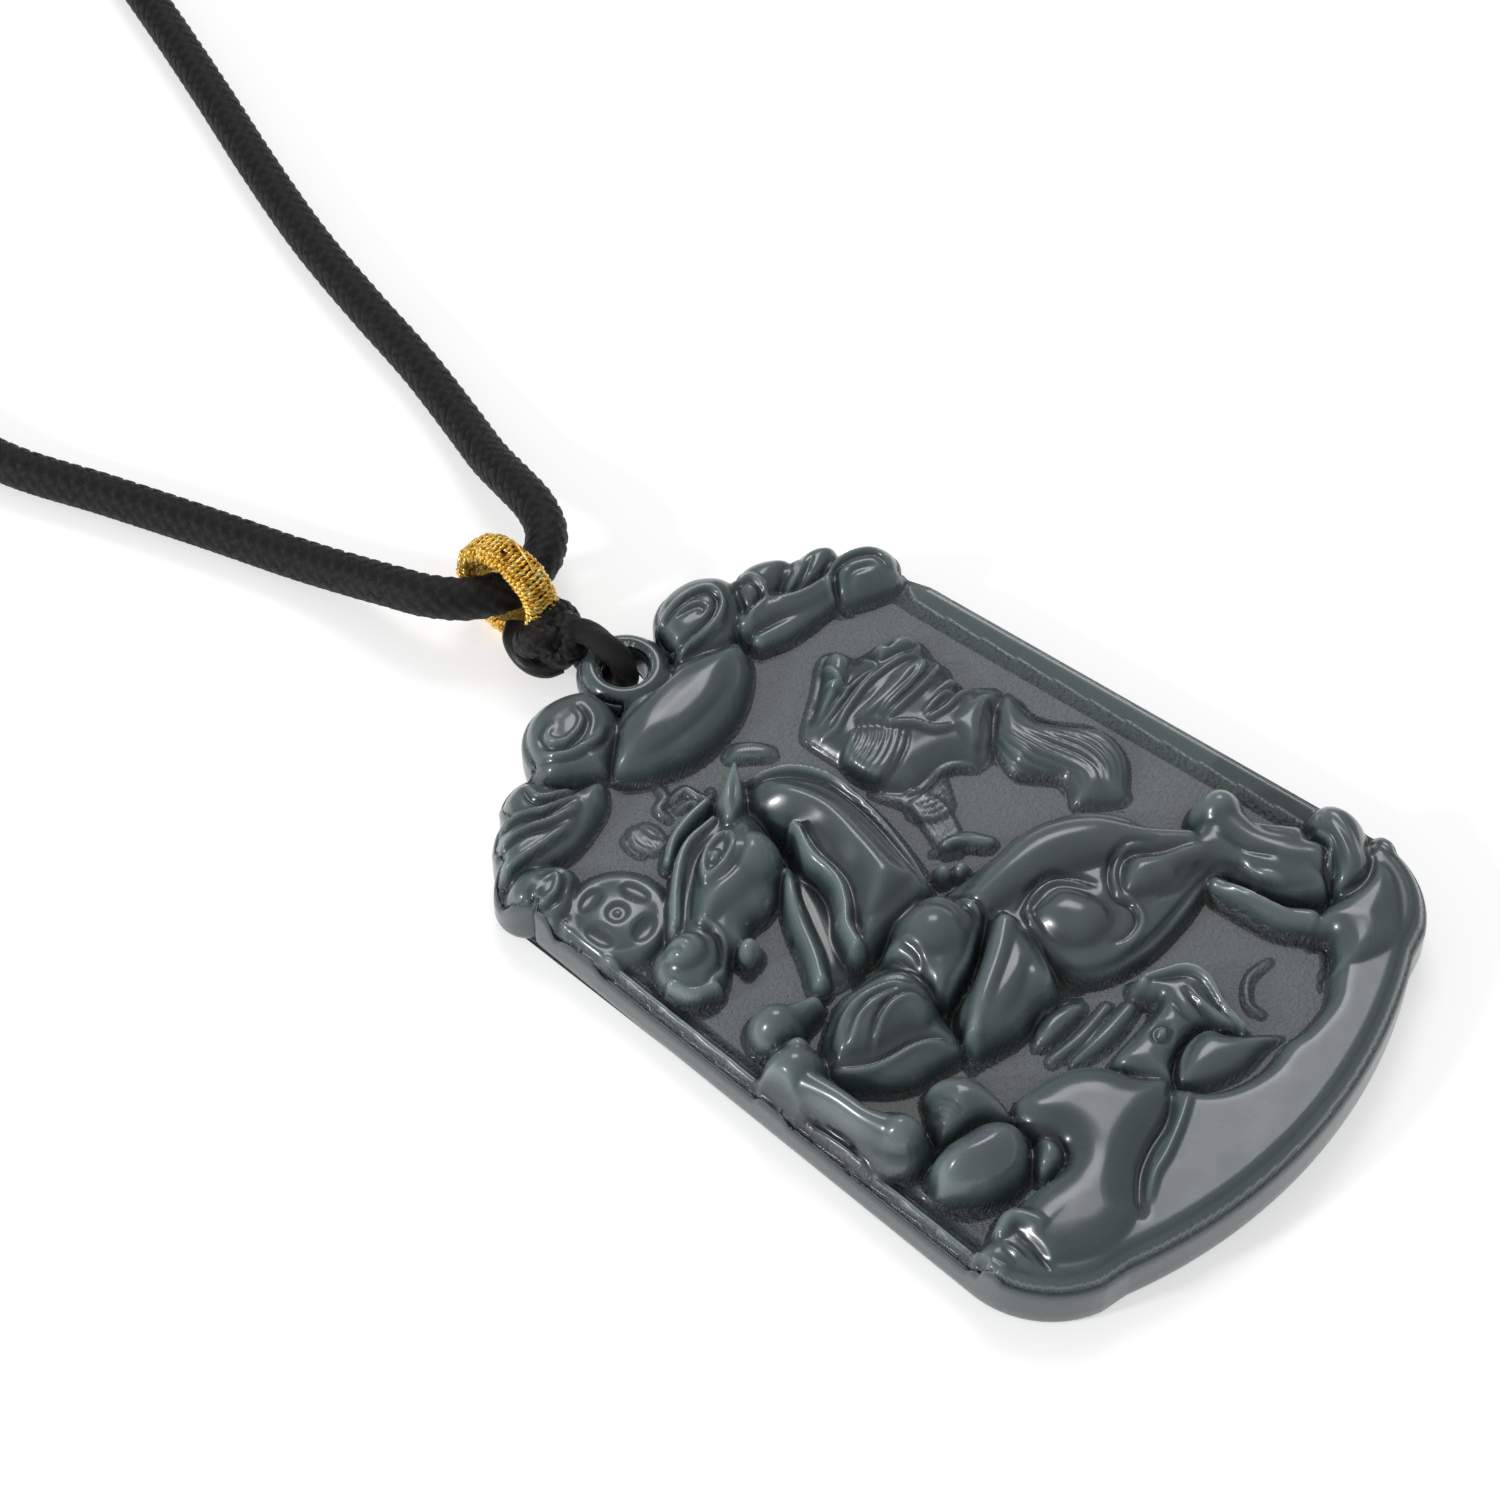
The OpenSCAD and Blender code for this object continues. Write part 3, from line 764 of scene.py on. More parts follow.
def carve_spindle(r):
    """The smooth spindle below the boss."""
    r.mass([
        (-7.6, 21.2), (-6.0, 23.0), (-3.9, 24.3), (0, 24.8), (3.3, 24.0), (5.6, 22.9), (6.7, 22.6),
        (6.2, 20.9), (4.6, 19.4), (2, 18.1), (-0.4, 17.7), (-2.8, 17.8), (-4.6, 18.5), (-6.2, 19.4),
    ], 5.7, 3.0, 6)
    r.line([(-5.4, 20.2), (-3.7, 19.6), (-1.5, 19.3), (0.6, 19.4), (2.3, 19.8)], 0.28, 0.22)
    r.line([(-4.4, 23.3), (-2.1, 23.2), (0.4, 23.2), (1.8, 23.3), (3.5, 22.7), (5.7, 21.8)], 0.24, 0.5)
    r.line([(-4.1, 23.4), (-5.6, 22.6), (-7.4, 21.5)], 0.22, 0.5)


def carve_boss(r):
    """The ring round the hanging hole."""
    away = np.hypot(r.x - HOLE[0], r.y - HOLE[1])
    lip = np.clip((2.0 - away) / 0.6, 0, 1)
    ring = 4.0 - 0.7 * np.clip((away - 1.9) / 1.5, 0, 1) ** 2 - 0.8 * (1 - np.sqrt(1 - lip * lip))
    near = away < BOSS_R + 0.15
    r.z = np.where(near, np.maximum(ring, np.minimum(r.z, 3.7)), r.z)
    r.z -= 0.2 * np.exp(-(((away - BOSS_R) / 0.22) ** 2))
    r.dent(0, 29.6, 1.4, 2.2, 0, 0.35)
    r.polish = np.maximum(r.polish, near)


def carve_coin(r):
    """A low round coin with four lens-shaped recesses round a small middle one."""
    x, y = -15.6, 13.6
    r.dome(x, y, 3.9, 3.8, 0, 4.1, 0.2, GROUND)
    away = np.hypot(r.x - x, r.y - y)
    r.z += 0.14 * np.exp(-(((away - 3.1) / 0.3) ** 2))
    r.dent(x, y, 0.85, 0.8, 0, 0.22)
    r.dome(x, y, 0.35, 0.35, 0, 4.05, 0.1, 3.7)
    for turn in range(0, 360, 90):
        a = math.radians(turn + 8)
        r.dent(x + 2.0 * math.cos(a), y + 2.0 * math.sin(a), 0.65, 1.15, turn + 8, 0.3)


def carve_wisps(r):
    """Loose hair round the horse's forehead."""
    r.mass([
        (-10.9, 17.6), (-9.4, 18.2), (-8.2, 17.2), (-8.3, 15.8), (-9.2, 14.9), (-10.9, 15.7),
    ], 3.2, 1.0, 2, 0.4)
    r.hair(
        [(-10.1, 18.0), (-10.8, 16.7), (-10.5, 15.4)],
        [(-8.9, 17.8), (-9.2, 16.5), (-8.7, 15.4)],
        4, 0.13, 0.3,
    )
    r.line([(-5.8, 18.8), (-6.2, 17.8), (-7.2, 17.5), (-7.3, 16.5)], 0.2, -0.4)
    r.line([(-6.1, 17.4), (-4.9, 17.2), (-4.8, 16.4), (-4.5, 15.5), (-3.8, 15.9)], 0.2, -0.5)
    r.line([(-6.4, 16.6), (-5.4, 16.2), (-5.2, 15.4)], 0.18, -0.4)
    r.ridge([
        (-10.3, 13.9, 0.5, 4.2), (-8.8, 14.7, 0.6, 4.3), (-7.0, 15.0, 0.6, 4.4), (-5.2, 15.0, 0.5, 4.4),
    ])
    r.mass([
        (-1.4, 17.3), (-0.2, 17.5), (1.0, 16.4), (1.7, 14.9), (1.2, 14.0), (0, 15.2), (-1.4, 16.2),
    ], 3.1, 1.2, 3, 0.4)
    r.hair(
        [(-1.2, 16.6), (-0.3, 15.6), (0.7, 14.6)],
        [(-0.2, 17.4), (1.0, 16.3), (1.6, 15.0)],
        4, 0.13, -0.4,
    )


def carve_second_horse(r):
    """The horse behind: ears, bridle-like bars, mane, flank and flowing tail."""
    r.mass([
        (3.2, 9.9), (3.1, 13.6), (3.9, 14.6), (5.3, 15.0), (6.2, 15.6), (7.6, 16.4), (8.7, 17.2),
        (9.6, 17.5), (10.5, 16.9), (10.8, 15.8), (12.1, 15.4), (13.5, 15.0), (14.5, 14.2), (14.9, 13),
        (14.3, 11.4), (14.3, 10.2), (13.3, 9), (14.2, 7.8), (15.2, 6.8), (14.4, 5.5), (12.8, 5),
        (10.4, 3.4), (8.9, 3.5), (7.9, 4.6), (6.4, 5.2), (4.6, 5.6), (3.2, 7.4),
    ], 4.1, 2.6, 5, 0.4)
    r.hair(
        [(2.6, 8.0), (3.4, 5.2), (2.6, 2.6), (1.9, 1.0)],
        [(4.8, 6.0), (5.2, 3.6), (4.2, 1.4), (3.0, 0.2)],
        5, 0.17, -0.3,
    )
    r.mass([
        (3.7, 13.6), (5.2, 14.5), (6.8, 15.4), (8.7, 16.8), (9.6, 17.1), (10.3, 16.6), (10.3, 15.2),
        (7.7, 13.7),
    ], 4.6, 1.2)
    r.line([(8.6, 16.9), (8.3, 15.8), (8.0, 14.8), (7.8, 13.9)], 0.15, -0.4)
    r.line([(7.2, 15.4), (7.5, 14.6), (7.6, 13.9)], 0.15, -0.35)
    r.line([
        (3.4, 13.9), (4.6, 14.7), (6.2, 15.5), (7.6, 16.3), (8.7, 17.0), (9.6, 17.3), (10.4, 16.7),
        (10.5, 15.6),
    ], 0.15, -0.3)
    r.mass([
        (10.6, 14.6), (12.1, 15.2), (13.5, 14.8), (14.3, 14.0), (14.5, 13.1), (13.6, 12.7), (11.0, 13.6),
    ], 4.5, 0.9)
    r.dent(11.3, 14.4, 0.45, 0.4, 0, 0.5)
    r.dent(12.7, 14.3, 0.45, 0.35, 0, 0.45)
    r.line([(12.8, 14.9), (13.9, 14.4), (14.4, 13.6), (14.1, 12.7), (13.3, 12.7)], 0.15, -0.35)
    r.line([(10.8, 15.1), (10.8, 13.7)], 0.14, -0.3)
    # The cheek between the bars
    r.mass([
        (5.2, 12.2), (8.0, 12.8), (11, 12.8), (13.2, 12.2), (13.2, 11), (11.4, 10.7), (8.6, 10.5),
        (6.6, 11.0),
    ], 4.6, 1.0)
    r.mass([
        (8.0, 9.9), (10.4, 10.0), (12.4, 10.0), (13.6, 9.6), (13.4, 8.6), (11.4, 8.8), (9.2, 8.9),
    ], 4.2, 0.8)
    r.strokes(
        0.15, -0.4,
        [(3.9, 12.8), (4.9, 12.4), (6.4, 12.8), (9.1, 13.2), (10.9, 13.1), (12.5, 12.8), (13.4, 12.3)],
        [(4.6, 13.4), (6.6, 13.6), (8.7, 13.8), (10.6, 13.6)],
        [(7.4, 10.2), (9.3, 10.2), (11.4, 10.3), (12.9, 10.5), (13.8, 10.9), (13.8, 11.6)],
        [(7.8, 10.8), (9.6, 10.9), (11.4, 11.0), (12.8, 11.3), (13.1, 11.8)],
        [(9.5, 8.2), (11.1, 7.9), (12.9, 8.1), (13.8, 7.8), (14.5, 7.1)],
        [(9.6, 8.7), (11.4, 8.8), (12.7, 8.7)],
        [(7.2, 10.0), (8.4, 8.7), (9.0, 7.4), (9.9, 6.7)],
        [(4.2, 5.8), (5.2, 5.4), (6.9, 5.3), (8.1, 4.8), (9.0, 3.7)],
    )
    r.line([(6.2, 11.9), (8.8, 12.1), (11.2, 12.0)], 0.3, 0.3)
    r.mass([
        (9.6, 7.8), (13.0, 7.7), (14.6, 6.6), (12.8, 5.2), (10.4, 3.8), (9.1, 4.6), (9.2, 6.4),
    ], 4.4, 1.6, 4)
    r.line([(14.2, 6.5), (12.7, 5.9), (10.7, 4.8), (9.3, 3.9)], 0.28, 0.35)
    # The mane, combed towards the neck
    r.mass([
        (3.2, 10.6), (5.4, 11.9), (7.2, 10.6), (8.0, 9.0), (7.2, 7.6), (5.0, 7.2), (3.2, 7.9),
    ], 4.4, 0.9)
    r.hair(
        [(6.2, 11.9), (5.4, 11.1), (4.4, 10.7), (3.1, 10.5)],
        [(8.0, 8.4), (6.6, 7.7), (4.8, 7.2), (3.4, 7.3)],
        8, 0.13, 0.32,
    )
    r.hair(
        [(7.2, 5.1), (5.8, 4.9), (4.6, 5.0), (3.6, 5.2)],
        [(5.6, 3.0), (4.4, 2.8), (3.4, 3.4), (3.0, 4.6)],
        5, 0.14, -0.3,
    )
    r.ridge([(2.6, 1.2, 0.6, 3.6), (3.8, 0.6, 0.7, 3.7), (4.6, -0.7, 0.6, 3.6)])
    r.line([(1.6, 1.7), (3.2, 0.7), (4.2, -0.9)], 0.16, -0.3)
    carve_tail(r)


def carve_tail(r):
    """The second horse's flowing tail."""
    outer = [
        (15.1, 6.4), (15.4, 5.6), (15.0, 4.3), (14.9, 3.0), (15.8, 1.4), (16.6, 0.2), (17.0, -1.0),
        (16.8, -2.4), (16.0, -3.8), (14.5, -4.9), (12.8, -5.6),
    ]
    inner = [
        (13.2, 5.9), (11.4, 4.6), (10.2, 3.0), (9.7, 1.5), (10.6, 0.2), (11.4, -1.1), (11.1, -2.1),
        (10.4, -3.2),
    ]
    r.mass(outer + inner[::-1], 4.3, 2.4, 6, 0.4)
    r.hair(outer, inner, 11, 0.17, 0.34)
    r.line([(13.9, 4.4), (12.7, 2.6), (13.6, -0.4), (13.6, -2.6), (12.4, -4.2)], 0.5, 0.2)


def carve_third_head(r):
    """The small head low on the right, and what lies round it."""
    r.line([(8.9, -19.9), (7.3, -19.7), (6.3, -20.0), (5.3, -20.9), (5.3, -21.9)], 0.16, -0.4)
    r.mass([
        (-2.8, -21.3), (-1.8, -20.3), (-0.3, -19.7), (1.2, -19.7), (2.1, -20.2), (3.0, -21.8),
        (5.0, -24.1), (3.4, -23.8), (1.4, -23.8), (-0.4, -23.3), (-1.9, -22.4),
    ], 4.3, 1.7, 3)
    r.mass([
        (0.9, -15.9), (0.8, -15.0), (1.5, -14.4), (2.3, -14.8), (3.2, -15.8), (4.1, -16.4), (4.8, -17.3),
        (4.6, -18.6), (3.6, -20.3), (3.3, -22.4), (2.3, -21), (1.6, -19.9), (-0.3, -19.7), (-1.8, -20.2),
        (-3.0, -21.2), (-4.2, -19.3), (-4.3, -17.1), (-0.6, -17.0), (1.1, -16.8),
    ], 4.6, 1.2, 3)
    r.line([(1.0, -15.9), (0.9, -15.1), (1.4, -14.5), (2.1, -14.8)], 0.16, -0.35)
    r.ridge([
        (2.0, -15.1, 0.4, 4.7), (3.1, -15.9, 0.5, 4.9), (4.1, -16.8, 0.7, 5.1), (4.3, -18.2, 0.7, 5.1),
        (3.5, -20.1, 0.4, 4.8), (3.2, -22.0, 0.25, 4.5),
    ], 0.1)
    r.crease([(2.7, -17.6), (2.3, -19.0), (2.3, -20.2), (2.9, -22.2)], 0.2, 0.4, 0.3)
    r.line([(1.6, -17.6), (1.2, -18.6), (1.4, -19.4)], 0.2, 0.3)
    r.crease([
        (-2.8, -21.2), (-1.8, -20.3), (-0.3, -19.7), (1.2, -19.7), (2.0, -20.3), (2.6, -21.4),
    ], 0.2, 0.5, -0.3)
    r.line([(1.2, -16.8), (-0.6, -17.1), (-4.3, -17.1)], 0.16, -0.35)
    r.dent(-0.8, -18.5, 0.85, 0.75, 0, 0.5)
    r.dome(-0.8, -18.5, 0.45, 0.4, 0, 4.8, 0.05, 4.0)
    r.dome(1.6, -15.3, 0.35, 0.35, 0, 4.9, 0.05, 4.2)
    r.mass([
        (-5.9, -12.5), (-4.6, -11.8), (-3.3, -11.8), (-1.5, -12.8), (-1.8, -13.5), (-4.2, -13.6),
        (-5.6, -13.3),
    ], 3.9, 0.8)
    r.line([(-5.9, -12.6), (-4.6, -11.9), (-3.3, -11.9), (-2.4, -12.4), (-1.4, -12.9)], 0.15, -0.35)
    r.line([(-5.2, -11.5), (-3.4, -11.2), (-1.9, -11.4), (-0.9, -12.4)], 0.2, 0.25)
    r.ridge([(-5.2, -15.2, 0.4, 3.3), (-2.6, -15.5, 0.8, 3.6), (0.2, -15.4, 0.6, 3.5)], 0.5)
    r.ridge([(-6.0, -14.0, 0.4, 3.3), (-3.6, -14.4, 0.6, 3.5), (-0.6, -14.2, 0.4, 3.3)], 0.5)


def carve_hind(r):
    """Barrel, rump and hind legs, which reach out over the border."""
    r.ridge([
        (11.0, -14.2, 0.8, 4.4), (11.3, -16.4, 0.9, 4.6), (11.6, -18.6, 1.0, 4.6),
        (12.6, -20.4, 1.0, 4.7),
    ], 0.2)
    r.line([(11.6, -15.0), (12.0, -17.1), (12.6, -19.0)], 0.2, 0.4)
    r.line([(11.2, -15.0), (11.4, -17.1), (11.8, -19.1)], 0.16, -0.3)
    r.mass([
        (11.6, -20.4), (13, -20.2), (15.3, -20.4), (17.6, -20.6), (19.6, -20.4), (19.3, -22.8),
        (17.2, -25), (14.6, -26.4), (12, -25.8), (10.2, -24.6), (9.6, -23.7), (11.2, -23.1),
        (12.1, -22.0),
    ], 5.0, 2.0, 5)
    r.line([(11.6, -21.4), (12.2, -22.0), (11.3, -23.0), (9.6, -23.8)], 0.22, 0.45)
    r.line([(14.3, -20.6), (15.4, -21.3), (17.2, -21.5), (18.8, -20.9)], 0.2, 0.4)
    leg = [
        (12.3, -10.2), (13.2, -10.3), (14.5, -9.6), (16, -9.4), (17.1, -10), (17.1, -11.4),
        (16.8, -12.5), (16.9, -13.6), (17.7, -14.9), (18.2, -16.1), (17, -18.4), (14.9, -20.4),
        (12.7, -18.2), (12, -16.7), (12, -15), (11.6, -14.1),
    ]
    r.mass([
        (-1.8, -1.6), (1.5, -1.5), (4.2, -1.8), (6, -1.8), (7.8, -2.4), (9.7, -3.5), (10.9, -4.8),
        (11.7, -6.3),
        (12, -7.8), (11.9, -9), *leg, (10.3, -13.9), (7.9, -14.2), (5.9, -14.2), (3.7, -14.1), (1.4, -13.4),
        (-0.3, -12.2), (-1.2, -10.6), (-3, -6),
    ], 5.0, 1.7, 2)
    r.mass([(9.2, -9.4), *leg, (10.2, -12.8)], 5.6, 1.9, 3)
    r.ridge([
        (-0.9, -3.9, 1.8, 6.0), (2.2, -4.3, 2.3, 6.6), (5.2, -5.0, 2.8, 6.9), (7.8, -6.7, 2.6, 6.8),
        (9.8, -9.0, 1.9, 6.1), (11.8, -11.2, 1.5, 5.8),
    ], 0.4)
    r.mass([
        (0.0, -6.6), (1.9, -6.1), (3.6, -6.4), (4.6, -7.5), (5.1, -9), (5.0, -10.6), (4.0, -11.9),
        (2.0, -12.2), (0.2, -11.2), (-0.6, -9),
    ], 6.3, 2.6, 5)
    r.mass([
        (5.0, -11.0), (5.7, -9.4), (7.2, -8.5), (8.7, -8.6), (10.2, -9.9), (12, -10.9), (13.4, -12.4),
        (12.0, -13.5), (10, -12.9), (8.6, -13), (7.2, -12.6), (6, -12),
    ], 6.3, 2.2, 5)
    r.crease([(0.4, -6.3), (1.9, -6.0), (3.5, -6.3), (4.5, -7.4), (5.0, -8.8)], 0.22, 0.35, -0.35)
    r.crease([
        (5.6, -11.6), (5.1, -10.6), (5.8, -9.3), (7.2, -8.5), (8.7, -8.6), (10.1, -9.8),
    ], 0.2, 0.35, -0.3)
    r.crease([(5.4, -10.6), (5.2, -11.8), (4.6, -12.5), (3.4, -12.6), (2.4, -12.2)], 0.2, 0.3, 0.3)
    r.line([(12.0, -13.3), (11.2, -12.9), (10.0, -12.8), (8.6, -12.9), (7.3, -12.4)], 0.22, 0.35)
    r.crease([
        (-0.9, -10.4), (0.1, -11.9), (1.6, -12.9), (3.8, -13.5), (5.9, -13.6), (8, -13.5), (10.3, -13.3),
        (11.9, -13.6), (12.5, -14.8), (12.6, -16.6), (13.3, -17.9), (14.6, -19.3),
    ], 0.16, 0.35, -0.35)
    r.line([(0.6, -6.9), (0.1, -7.4), (-0.2, -8.4)], 0.3, -0.4)
    # Hock, cannon and hoof
    r.dome(15.2, -11.2, 2.1, 2.0, 0, 6.4, 0.4)
    r.ridge([
        (14.7, -12.2, 2.0, 5.9), (14.6, -14.4, 2.1, 5.7), (15.2, -16.6, 2.2, 5.8), (16, -18, 2.0, 5.8),
    ], 0.3)
    r.line([(13.4, -12.6), (13.5, -14.4), (14.2, -16.2)], 0.25, 0.3)
    r.line([(12.6, -14.9), (12.7, -16.2), (13.3, -17.7)], 0.18, -0.35)
    r.line([(15.9, -13.0), (15.6, -14.4), (16.2, -15.8)], 0.4, 0.25)
    r.mass([
        (15.0, -20.6), (16.2, -18.6), (17.4, -16.8), (18.7, -15.5), (20.1, -15.5), (21.0, -16.4),
        (21.3, -17.8), (20.8, -19.2), (19.5, -20.4), (18.4, -21.4), (16.4, -21.6),
    ], 5.7, 2.0, 4)
    r.crease([
        (17.4, -16.5), (17.5, -17.4), (17.1, -18.2), (16.2, -18.8), (15.3, -19.7), (14.8, -20.7),
    ], 0.18, 0.5, 0.35)
    r.hair(
        [(18.0, -17.2), (17.4, -18.6), (16.2, -20.2)],
        [(20.2, -17.4), (19.4, -19.2), (18.0, -21)],
        3, 0.16, 0.14,
    )
    r.line([(18.4, -15.9), (19.2, -16.3), (18.6, -16.9)], 0.18, 0.3)


def carve_front(r):
    """Neck, chest and forelegs."""
    r.mass([
        (-5.4, 8.4), (-6.4, 7.8), (-8.0, 6.2), (-9.6, 4), (-11.6, 0.2), (-9.4, -0.9), (-7.4, 0.6),
        (-5.6, 3.4), (-4.6, 6.4),
    ], 3.7, 2.4, 5)
    crest = [
        (-2.2, 14.3), (-0.5, 13.6), (0.8, 12.4), (1.7, 10.3), (1.7, 8.0), (1.3, 5.6), (0.6, 3.2),
        (-0.2, 0.8),
    ]
    r.mass([
        (-4.4, 12.8), *crest, (-1.5, -1), (-5, -1.2), (-8.6, -0.8), (-8.1, 0.6), (-6.7, 2.2), (-5.5, 3.8),
        (-5.1, 5.1), (-5.0, 6.6), (-4.0, 8.7), (-4.4, 10.8),
    ], 5.2, 1.7, 3)
    r.mass([
        (-3.6, 12.4), (-1.8, 12.9), (-0.4, 11.4), (0.3, 8.8), (0.1, 6), (-0.6, 3), (-1.6, 0),
        (-5.4, -0.2), (-6.8, 1.0), (-4.8, 3.6), (-4.2, 5.6), (-3.4, 8), (-3.9, 10.4),
    ], 6.4, 2.8, 10, 0.6, rise=0.04)
    # Two threads along the crest, each with a groove under it
    for dx, dy, width, depth in (
        (0.1, 0.05, 0.2, -0.6), (-0.4, -0.3, 0.2, 0.3), (-0.85, -0.55, 0.2, -0.55),
        (-1.35, -0.85, 0.22, 0.45),
    ):
        r.line([(x + dx, y + dy) for x, y in crest], width, depth)
    # Two folds that hang from the throat
    r.ridge([
        (-3.6, 8.8, 0.5, 5.7), (-4.7, 6.7, 0.8, 5.6), (-4.9, 5.1, 0.8, 5.5), (-5.3, 3.8, 0.8, 5.5),
        (-6.3, 2.5, 0.8, 5.5), (-7.5, 1.4, 0.8, 5.6), (-8.3, -0.1, 0.8, 5.7),
    ], 1.0, 1.6)
    r.ridge([
        (-6.0, 7.5, 0.6, 4.6), (-7.4, 6.0, 0.7, 4.7), (-8.6, 4.3, 0.9, 4.4), (-9.9, 2.1, 0.9, 4.4),
        (-11.3, 0.3, 0.8, 4.6),
    ], 0.9, 1.6)
    r.line([(-4.1, 11.2), (-4.3, 9.8), (-5.1, 8.2), (-6.4, 7.0)], 0.35, 0.7)
    r.dome(-3.7, 8.9, 0.55, 0.5, 0, 5.9, 0.15)
    # The raised foreleg, with its muscles fanned out
    r.mass([
        (-12.9, -1.6), (-11.5, -1.2), (-10, -1.3), (-8, -1.6), (-6.6, -3.4), (-7, -5.6), (-8.2, -7.4),
        (-9.2, -9.8), (-11, -9.6), (-12.9, -9.1), (-14.4, -8.1), (-15.4, -6.9), (-16.8, -5), (-15.6, -3),
    ], 4.8, 1.6, 2)
    r.mass([
        (-12.8, -1.8), (-11.5, -1.5), (-10, -1.7), (-8.4, -2.2), (-7.2, -3.4), (-7.2, -5.4),
        (-8.6, -7.4), (-10.2, -7.9), (-11.6, -7.2), (-13.5, -6.6), (-14.8, -5.8), (-15.9, -4.6),
        (-15.2, -3.2),
    ], 6.2, 2.4, 5)
    for points in (
        [(-14.9, -3.4), (-13.3, -2.6), (-12.0, -2.6), (-10.6, -3.0), (-9.2, -3.8), (-8.6, -4.8)],
        [(-14.6, -4.4), (-13.1, -3.7), (-12.1, -3.6), (-10.8, -3.8), (-9.6, -4.4)],
        [(-13.8, -5.6), (-12.6, -5.0), (-11.5, -4.7), (-10.4, -4.7), (-9.2, -5.2), (-8.6, -6.2)],
    ):
        r.crease(points, 0.18, 0.4, -0.35)
    r.crease([
        (-15.9, -4.6), (-14.7, -5.8), (-13.5, -6.6), (-11.6, -7.2), (-10.3, -8), (-9.6, -9.1),
    ], 0.2, 0.45, -0.35)
    r.ridge([(-12.9, -0.4, 0.8, 4.6), (-15.3, 0.2, 1.6, 5.2)], 0.3)
    r.dome(-15.7, 0.3, 2.05, 1.95, 0, 5.5, 0.2)
    leg = [
        (-18.9, -1.1), (-20.3, -2.0), (-20.5, -3.5), (-19.8, -4.7), (-19.3, -5.6), (-19.2, -6.9),
        (-19.3, -8.4), (-19.6, -9.9), (-19.6, -11.6), (-18.4, -12.9), (-16.2, -12.8), (-15.0, -10.6),
        (-15.4, -9.2), (-16.3, -8.2), (-16.5, -7.2), (-16.3, -6.2), (-16.3, -4.7), (-15.2, -3.2),
        (-15.4, -1.6), (-17, -0.6),
    ]
    r.mass(leg, 4.9, 1.3, 2)
    r.dome(-17.7, -2.9, 2.35, 2.2, 0, 6.1, 0.2)
    r.dome(-16.6, -2.2, 1.2, 1.2, 0, 5.9, 0.2)
    r.ridge([
        (-18.0, -4.2, 1.5, 5.7), (-17.9, -6.4, 1.25, 5.9), (-17.9, -8.6, 1.3, 6.0),
        (-17.5, -10.4, 1.7, 6.2),
    ], 0.3)
    r.dome(-17.3, -10.9, 1.9, 1.7, -30, 6.5, 0.2)
    r.line([(-19.4, -6.2), (-19.5, -8.6), (-19.9, -10.6)], 0.18, -0.3)
    r.mass([
        (-14.4, -10.6), (-13.8, -9.8), (-12.9, -9.6), (-11.7, -10.1), (-10.8, -11.1), (-10.5, -12.6),
        (-10.9, -14.2), (-11.6, -15.6), (-13, -14.6), (-14.8, -13.8), (-15.8, -12.8), (-15.4, -11.4),
    ], 6.0, 2.2, 4)
    r.mass([
        (-17.8, -13.3), (-16.1, -13.0), (-14.7, -13.3), (-13.1, -13.8), (-12.0, -14.9), (-11.7, -16.3),
        (-12.7, -17.8), (-14.6, -18.4), (-16.7, -17.8), (-18.2, -16.4), (-18.8, -14.9),
    ], 6.8, 3.0, 7)
    r.line([(-17.8, -13.3), (-16.1, -13.2), (-14.7, -13.5), (-13.2, -14.0), (-12.1, -15.2)], 0.22, 0.6)
    r.hair(
        [(-15.6, -11.0), (-15.0, -11.8), (-14.8, -12.8)],
        [(-13.6, -11.2), (-13.5, -12.1), (-13.7, -13.0)],
        4, 0.13, 0.3,
    )
    r.line([(-18.4, -13.2), (-18.8, -14.2), (-18.5, -15.6)], 0.18, -0.3)
    r.mass([
        (-11.8, -16.9), (-10.9, -17.6), (-11.0, -18.9), (-12.1, -19.7), (-13.6, -19.2), (-13.4, -18),
    ], 4.9, 1.2)
    # The folded foreleg and the chest
    r.mass([
        (-1.2, -4.0), (-1.6, -5.2), (-3.1, -6.0), (-4.8, -6.7), (-6.9, -7.2), (-8.2, -8.0), (-8.9, -9.1),
        (-9.5, -10.5), (-7.8, -11.3), (-6.3, -11.7), (-4.6, -11.7), (-2.7, -11.9), (-1.6, -11.2),
        (-0.6, -9.6), (0.0, -8.2), (0.4, -6.8), (0.4, -5),
    ], 6.0, 2.2, 4)
    r.ridge([
        (-1.2, -6.4, 1.2, 6.3), (-3.4, -7.6, 1.3, 6.3), (-6.4, -8.8, 1.2, 6.2), (-8.6, -9.8, 0.8, 5.8),
    ], 0.5)
    r.line([(-2.4, -9.4), (-4.4, -10.2), (-6.6, -10.6)], 0.4, 0.25)
    r.crease([(0.1, -6.8), (-0.4, -8.2), (-1.0, -9.5), (-2.0, -11.0), (-2.9, -11.5)], 0.16, 0.3, -0.3)
    r.mass([
        (-7.8, -1.7), (-6.2, -0.9), (-4.4, -0.4), (-2.6, -0.5), (-1.3, -1.5), (-0.9, -3.3), (-1.3, -5.0),
        (-3.1, -6.0), (-4.8, -6.7), (-6.9, -7.0), (-8.2, -6.4), (-8.0, -4),
    ], 6.0, 1.8, 3)
    r.dome(-4.6, -3.3, 3.1, 2.9, 30, 7.0, 0.3)
    r.crease([
        (-1.3, -1.8), (-1.1, -3.4), (-1.4, -5.0), (-3.1, -5.9), (-4.8, -6.6), (-6.9, -7.0), (-8.2, -7.9),
        (-9.1, -9.6),
    ], 0.18, 0.5, -0.4)
    r.crease([(-6.6, -2.2), (-6.6, -3.6), (-7.2, -4.6)], 0.18, 0.3, 0.3)
    r.dome(0.5, -0.1, 0.8, 0.7, 0, 4.2, 0.2)
